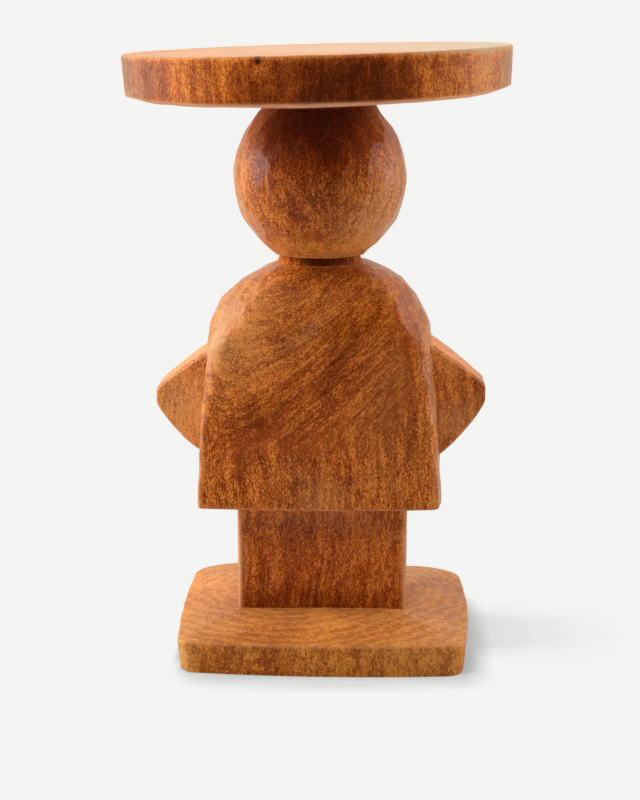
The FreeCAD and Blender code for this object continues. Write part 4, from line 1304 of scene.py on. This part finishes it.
def wood_material(finish: WoodFinish, grain: Tree, log: Tree) -> Material:
    """The hardwood of one piece: waxed above, and dull and unwaxed on undersides, which are lighter, partly
    in their own colour and partly as painted light bounced from the floor.

    The level is the sum of what makes wood lighter or darker, each times its share. It grades the colour from
    dark over mid to light. Lighter tones and edges seen at a slant turn pale, mostly painted light and
    painted sheen; undersides get a lighter orange; and arrises get one of their own, partly wear and partly a
    painted highlight.

    Args:
        finish: Its colours and strengths.
        grain: The shared grain group.
        log: The shared group for what runs through the whole log.

    Returns:
        The material, which reads the piece's arris, underside, facet and tone attributes, and its swirl's if
        it has one.
    """
    material, n = new_material(finish.name)
    place = n.place()
    flecks = {"Fleck Scale": finish.fleck_scale, "Fleck Stretch": finish.fleck_stretch}
    fleck, streak, pore = n.group(grain, {"Place": place, **flecks})
    if finish.swirls:
        around = n.add("ShaderNodeAttribute", attribute_name="swirl_place").outputs["Vector"]
        curved = n.group(grain, {"Place": around, **flecks})
        swirl = n.attribute("swirl")
        fleck, streak, pore = (n.between(swirl, *pair) for pair in zip((fleck, streak, pore), curved))
    ring, cloud = n.group(log, {"Place": place})
    tone, facet, bare_and_bounce_lit, wear_and_highlight = (n.attribute(name) for name in ("tone", "facet", "bare_and_bounce_lit", "wear_and_highlight"))
    patterns = ((streak, finish.streak_share), (cloud, finish.cloud_share), (ring, finish.ring_share),
                (fleck, finish.fleck_share))
    level = finish.shift + 0.5 - 0.5 * sum(share for _, share in patterns)
    for value, share in (*patterns, (tone, finish.tone_share), (facet, finish.facet_share),
                         (bare_and_bounce_lit, finish.bare_and_bounce_share)):
        level = n.math("MULTIPLY_ADD", value, share, level)
    colour = n.blended(n.graded(level, 0.0, 0.5), finish.dark, finish.mid)
    colour = n.blended(n.graded(level, 0.5, 1.0), colour, finish.light)
    # Darker tones deepen towards a brown: the wood's own darker clouds and painted shade
    darkened = n.math("MAXIMUM", n.math("MULTIPLY", tone, -1.0), 0.0)
    colour = n.blended(darkened, colour, finish.heart_and_shade, "MULTIPLY")
    # Edges seen at a slant turn pale: a painted sheen
    facing = n.add("ShaderNodeLayerWeight", {"Blend": 0.5}).outputs["Facing"]
    waxed = n.math("SUBTRACT", 1.0, bare_and_bounce_lit)
    edge = n.math("MULTIPLY", n.graded(facing, finish.slant_sheen_start, 1.0, 0.0, finish.slant_sheen_share), waxed)
    # Lighter tones turn pale, mostly as painted light and painted sheen, joined by the slant sheen, in
    # patches
    sheen_pale = n.math("MULTIPLY", n.math("SUBTRACT", tone, finish.sheen_pale_start), finish.sheen_pale_share)
    patchy = n.graded(n.math("ADD", fleck, ring), *finish.sheen_pale_patches)
    sheen_pale = n.math("MULTIPLY", n.math("MAXIMUM", sheen_pale, edge), patchy)
    colour = n.blended(sheen_pale, colour, finish.pale)
    # Undersides turn a lighter orange: partly unwaxed wood, partly painted light bounced from the floor
    colour = n.blended(n.math("MULTIPLY", bare_and_bounce_lit, finish.sawn_and_bounce_share), colour, finish.sawn_and_bounce)
    colour = n.blended(n.math("MULTIPLY", pore, finish.pore_share), colour, finish.pore)
    # Arrises take their own lighter colour: partly wear, partly a painted highlight
    colour = n.blended(n.math("MULTIPLY", wear_and_highlight, finish.wear_and_highlight_share), colour, finish.wear_and_highlight)
    smoother, rougher = finish.streak_roughness
    rough = n.graded(streak, *NOISE_RANGE, finish.roughness + smoother, finish.roughness + rougher)
    for value, share in ((pore, finish.pore_roughness), (bare_and_bounce_lit, finish.bare_roughness)):
        rough = n.math("MULTIPLY_ADD", value, share, rough)
    height = n.math("SUBTRACT", n.math("MULTIPLY", fleck, 0.5), pore)
    surface = {"Base Color": colour, "Roughness": rough, "IOR": finish.ior}
    finish_surface(n, surface, height, finish.relief, finish.relief_depth)
    return material


def dress(piece: Object, material: Material) -> None:
    """Gives a piece one material in place of any it has."""
    piece.data.materials.clear()
    piece.data.materials.append(material)


@dataclass(frozen=True)
class Softbox:
    """A studio lamp: a rectangle of light that points at the table."""

    name: str
    place: Vec3
    size: tuple[float, float]
    power: float
    shine: bool = True
    aim: Vec3 = (0.0, 0.0, 0.25)

    def build(self) -> None:
        """Makes the lamp and turns it to what it points at. Without shine, reflections leave it out."""
        light = bpy.data.lights.new(self.name, "AREA")
        light.shape = "RECTANGLE"
        light.size, light.size_y = self.size
        light.energy = self.power
        lamp = bpy.data.objects.new(self.name, light)
        lamp.location = self.place
        lamp.rotation_euler = (Vector(self.aim) - Vector(self.place)).to_track_quat("-Z", "Y").to_euler()
        lamp.visible_glossy = self.shine
        bpy.context.scene.collection.objects.link(lamp)


@dataclass(frozen=True)
class SoftShadow:
    """The shadow of some pieces in a soft lamp so far off that its rays are parallel."""

    casters: tuple[str, ...]
    aside: tuple[float, float]
    back: tuple[float, float]
    strength: float
    rays: int = 6
    reach: float = 0.32
    lift: float = 0.05 * MM

    def over(self, places: Array, nodes: dict[str, Object]) -> Array:
        """How much each place of the floor is darkened: the strength times the hidden share of the lamp.

        The lamp is a rectangle of directions (-a, b, 1), with a and b even between their limits. A direction
        is hidden where its ray from just over the floor meets a caster. Beyond the reach nothing is hidden.

        Args:
            places: Points of the floor, as (x, y, z) rows.
            nodes: The frame's nodes.

        Returns:
            Shares from 0 to the strength, one for each place.
        """
        corners, faces = [], []
        for name in self.casters:
            node, start = nodes[name], len(corners)
            corners.extend(node.matrix_world @ corner.co for corner in node.data.vertices)
            faces.extend([start + index for index in face.vertices] for face in node.data.polygons)
        tree = BVHTree.FromPolygons(corners, faces)
        ways = [Vector((-a, b, 1.0)) for a in np.linspace(*self.aside, self.rays)
                for b in np.linspace(*self.back, self.rays)]
        hidden = np.zeros(len(places))
        for row in np.flatnonzero(np.hypot(places[:, 0], places[:, 1]) < self.reach):
            start = Vector(places[row]) + Vector((0.0, 0.0, self.lift))
            hidden[row] = sum(tree.ray_cast(start, way)[0] is not None for way in ways)
        return self.strength * hidden / len(ways)


@dataclass
class Studio:
    """A pale floor that runs into a pale world, with soft light from both sides and from above."""

    nodes: dict[str, Object]
    pale: Vec3 = (0.905, 0.905, 0.888)
    fill: float = 0.2
    gloss: float = 0.8
    front_share: float = 0.05
    paper_tone: float = 0.8
    floor_half: float = 6.0
    floor_points: int = 261
    floor_bend: float = 4.6
    floor_grades: tuple[float, float] = (-0.3, 0.5)
    world_grades: tuple[float, float] = (-0.5, 0.3)
    softboxes: tuple[Softbox, ...] = (
        Softbox("left_box", (-1.5, 0.1, 0.8), (1.2, 1.4), 29.0),
        Softbox("right_box", (1.5, 0.3, 0.75), (1.1, 1.4), 15.5),
        Softbox("top_front_box", (-0.25, -1.15, 1.9), (1.0, 0.8), 17.0, shine=False),
        Softbox("top_back_box", (0.0, 1.2, 1.7), (1.4, 0.8), 19.5),
    )
    shadows: tuple[SoftShadow, ...] = (
        SoftShadow(("base", "post", "torso"), (0.165, 0.578), (-0.09, 0.09), 0.212),
        SoftShadow(("base",), (0.0, 0.85), (0.0, 1.7), 0.4),
    )

    def build(self) -> None:
        """Makes the floor, the world and the lamps."""
        self.build_floor()
        self.build_world()
        for softbox in self.softboxes:
            softbox.build()

    def build_floor(self) -> None:
        """A floor that is plain and pale to the camera but for the table's soft shadows.

        Its grid is fine near the table, at sinh(s) for even s, and each point stores the product of 1 less
        each shadow. As light it is grey paper. As a reflection it dims towards the front, as the room does.
        """
        count = self.floor_points
        line = np.sinh(np.linspace(-self.floor_bend, self.floor_bend, count))
        line *= self.floor_half / line[-1]
        across, deep = np.meshgrid(line, line, indexing="xy")
        places = np.stack([across, deep, 0 * across], axis=-1).reshape(-1, 3)
        cells = np.arange(count - 1)
        start = (cells[:, None] * count + cells[None, :]).reshape(-1, 1)
        floor = make_object("studio_floor", places, [start + np.array([[0, 1, count + 1, count]])])
        light = np.prod([1.0 - shadow.over(places, self.nodes) for shadow in self.shadows], axis=0)
        set_attribute(floor, "light", light)
        floor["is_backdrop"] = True
        material, n = new_material("studio_paper")
        seen = n.add("ShaderNodeEmission", {"Color": (*self.pale, 1.0), "Strength": n.attribute("light")})
        paper = n.add("ShaderNodeBsdfDiffuse", {"Color": (*(3 * [self.paper_tone]), 1.0)})
        deep_place = n.add("ShaderNodeSeparateXYZ", {"Vector": n.place()})
        room = n.graded(deep_place.outputs["Y"], *self.floor_grades, self.front_share, self.gloss)
        shine = n.add("ShaderNodeEmission", {"Color": (*self.pale, 1.0), "Strength": room})
        path = n.add("ShaderNodeLightPath")
        surface = paper
        for ray, shader in (("Is Camera Ray", seen), ("Is Glossy Ray", shine)):
            choice = {0: path.outputs[ray], 1: surface.outputs[0], 2: shader.outputs[0]}
            surface = n.add("ShaderNodeMixShader", choice)
        n.add("ShaderNodeOutputMaterial", {"Surface": surface.outputs[0]})
        dress(floor, material)

    def build_world(self) -> None:
        """A world that is plain and pale to the camera, and dimmer as light, most of all from the front.

        Elsewhere its strength goes from the front share to 1 with the direction's depth, times the fill as
        light and times the gloss as a reflection.
        """
        world = bpy.data.worlds.new("studio")
        world.use_nodes = True
        bpy.context.scene.world = world
        n = Nodes(world.node_tree)
        way = n.add("ShaderNodeSeparateXYZ", {"Vector": n.add("ShaderNodeTexCoord").outputs["Generated"]})
        room = n.graded(way.outputs["Y"], *self.world_grades, self.front_share, 1.0)
        path = n.add("ShaderNodeLightPath")
        straight = n.math("MAXIMUM", path.outputs["Is Camera Ray"], path.outputs["Is Transmission Ray"])
        lit = n.math("MULTIPLY", room, n.between(path.outputs["Is Glossy Ray"], self.fill, self.gloss))
        strength = n.between(straight, lit, 1.0)
        sky = n.add("ShaderNodeBackground", {"Color": (*self.pale, 1.0), "Strength": strength})
        n.add("ShaderNodeOutputWorld", {"Surface": sky.outputs[0]})


@dataclass
class Viewpoint:
    """The camera, where the photograph was taken: its focal length in pixels of an 800 pixel high picture."""

    focal_pixels: float = 2200.0
    picture_height: float = 800.0
    sensor: float = 36.0
    pitch: float = 10.715
    yaw: float = 1.5
    distance: float = 1.70725
    height: float = 0.51188
    aside: float = 2.5 * MM
    sees: tuple[float, float] = (0.05, 50.0)

    def build(self) -> None:
        """Makes the camera and hands it to the scene."""
        camera = bpy.data.cameras.new("camera")
        camera.lens = self.focal_pixels * self.sensor / self.picture_height
        camera.sensor_width = self.sensor
        camera.clip_start, camera.clip_end = self.sees
        seat = bpy.data.objects.new("camera", camera)
        yaw = math.radians(self.yaw)
        seat.location = (self.aside * math.cos(yaw) + self.distance * math.sin(yaw),
                         self.aside * math.sin(yaw) - self.distance * math.cos(yaw), self.height)
        seat.rotation_euler = (math.radians(90.0 - self.pitch), 0.0, yaw)
        bpy.context.scene.collection.objects.link(seat)
        bpy.context.scene.camera = seat


@dataclass(frozen=True)
class PlainFinish:
    """A finish of the hardware: a noise mixes its two colours and moves its roughness and its relief."""

    name: str
    nodes: tuple[str, ...]
    noise: tuple[float, ...]
    mix: tuple[float, float]
    colours: tuple[Vec3, Vec3]
    rough: tuple[float, float]
    metallic: float = 0.0
    squeeze: float = 1.0
    relief: float = 0.3
    relief_depth: float = 0.2 * MM

    def build(self) -> Material:
        """Makes the material, which reads only the place on the piece."""
        material, n = new_material(self.name)
        noise = n.along(n.place(), self.squeeze, *self.noise)
        colour = n.blended(n.graded(noise, *self.mix), *self.colours)
        rough = n.graded(noise, *NOISE_RANGE, *self.rough)
        surface = {"Base Color": colour, "Roughness": rough, "Metallic": self.metallic}
        finish_surface(n, surface, noise, self.relief, self.relief_depth)
        return material


@dataclass
class Hardware:
    """The pieces that stay as the frame has them: beech dowels with dark rays, zinc screws and felt pads."""

    nodes: dict[str, Object]
    finishes: tuple[PlainFinish, ...] = (
        PlainFinish(
            "bare_beech", ("top_dowels", "arm_left_dowels", "arm_right_dowels"), noise=(900.0, 1.0),
            mix=(0.5, 0.7), colours=((0.60, 0.40, 0.22), (0.38, 0.22, 0.11)), rough=(0.55, 0.7), squeeze=0.2),
        PlainFinish(
            "zinc_plate", ("base_screws",), noise=(700.0, 3.0), mix=(0.4, 0.7),
            colours=((0.66, 0.64, 0.58), (0.50, 0.48, 0.42)), rough=(0.28, 0.45), metallic=1.0),
        PlainFinish(
            "pressed_felt", ("felt_pads",), noise=(1400.0, 4.0, 0.7, 1.5), mix=(0.35, 0.7),
            colours=((0.018, 0.012, 0.009), (0.07, 0.045, 0.033)), rough=(0.9, 1.0)),
    )

    def dress_all(self) -> None:
        """Gives the dowels, the screws and the pads their finishes."""
        for finish in self.finishes:
            material = finish.build()
            for name in finish.nodes:
                dress(self.nodes[name], material)


@dataclass
class SideTable:
    """The whole table: its carved pieces and its hardware."""

    nodes: dict[str, Object]

    @staticmethod
    def carvings() -> list[Carving]:
        """Every carved piece, from the top down."""
        left = Arm(
            Part.ARM_LEFT, ToolMarks(16 * MM, 0.12 * MM, seed=21),
            WoodFinish("arm_left_wood", shift=0.2, fleck_share=0.75),
            # The tones are painted light over the arm, and darker along its upper bevel
            tones=(Patch((-105, -30, 193), (50, 60, 60), 0.4), Patch((-104, -8, 226), (34, 40, 14), -0.3)))
        right = Arm(
            Part.ARM_RIGHT, ToolMarks(16 * MM, 0.12 * MM, seed=22),
            WoodFinish("arm_right_wood", shift=0.08, fleck_share=0.65), low=38.5 * MM, tip=87 * MM,
            # The tones are painted light low on the arm and along its top
            tones=(Patch((115, -30, 172), (30, 60, 22), 0.35), Patch((112, -10, 224), (40, 24, 12), 0.2)))
        return [RoundTop(), Head(), Neck(), Torso(), left, right, Post(), Base()]

    def build(self) -> None:
        """Builds every carved piece, dresses it, and dresses the hardware."""
        grain, log = grain_group(), log_group()
        for carving in self.carvings():
            dress(carving.build(), wood_material(carving.finish, grain, log))
        Hardware(self.nodes).dress_all()


def main() -> None:
    """Builds the table around its frame, and the studio and camera around the table."""
    logging.basicConfig(level=logging.INFO, format="%(name)s: %(message)s")
    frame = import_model()
    bpy.context.scene.view_settings.view_transform = "Standard"
    SideTable(frame["nodes"]).build()
    Studio(frame["nodes"]).build()
    Viewpoint().build()


if __name__ == "__main__":
    main()
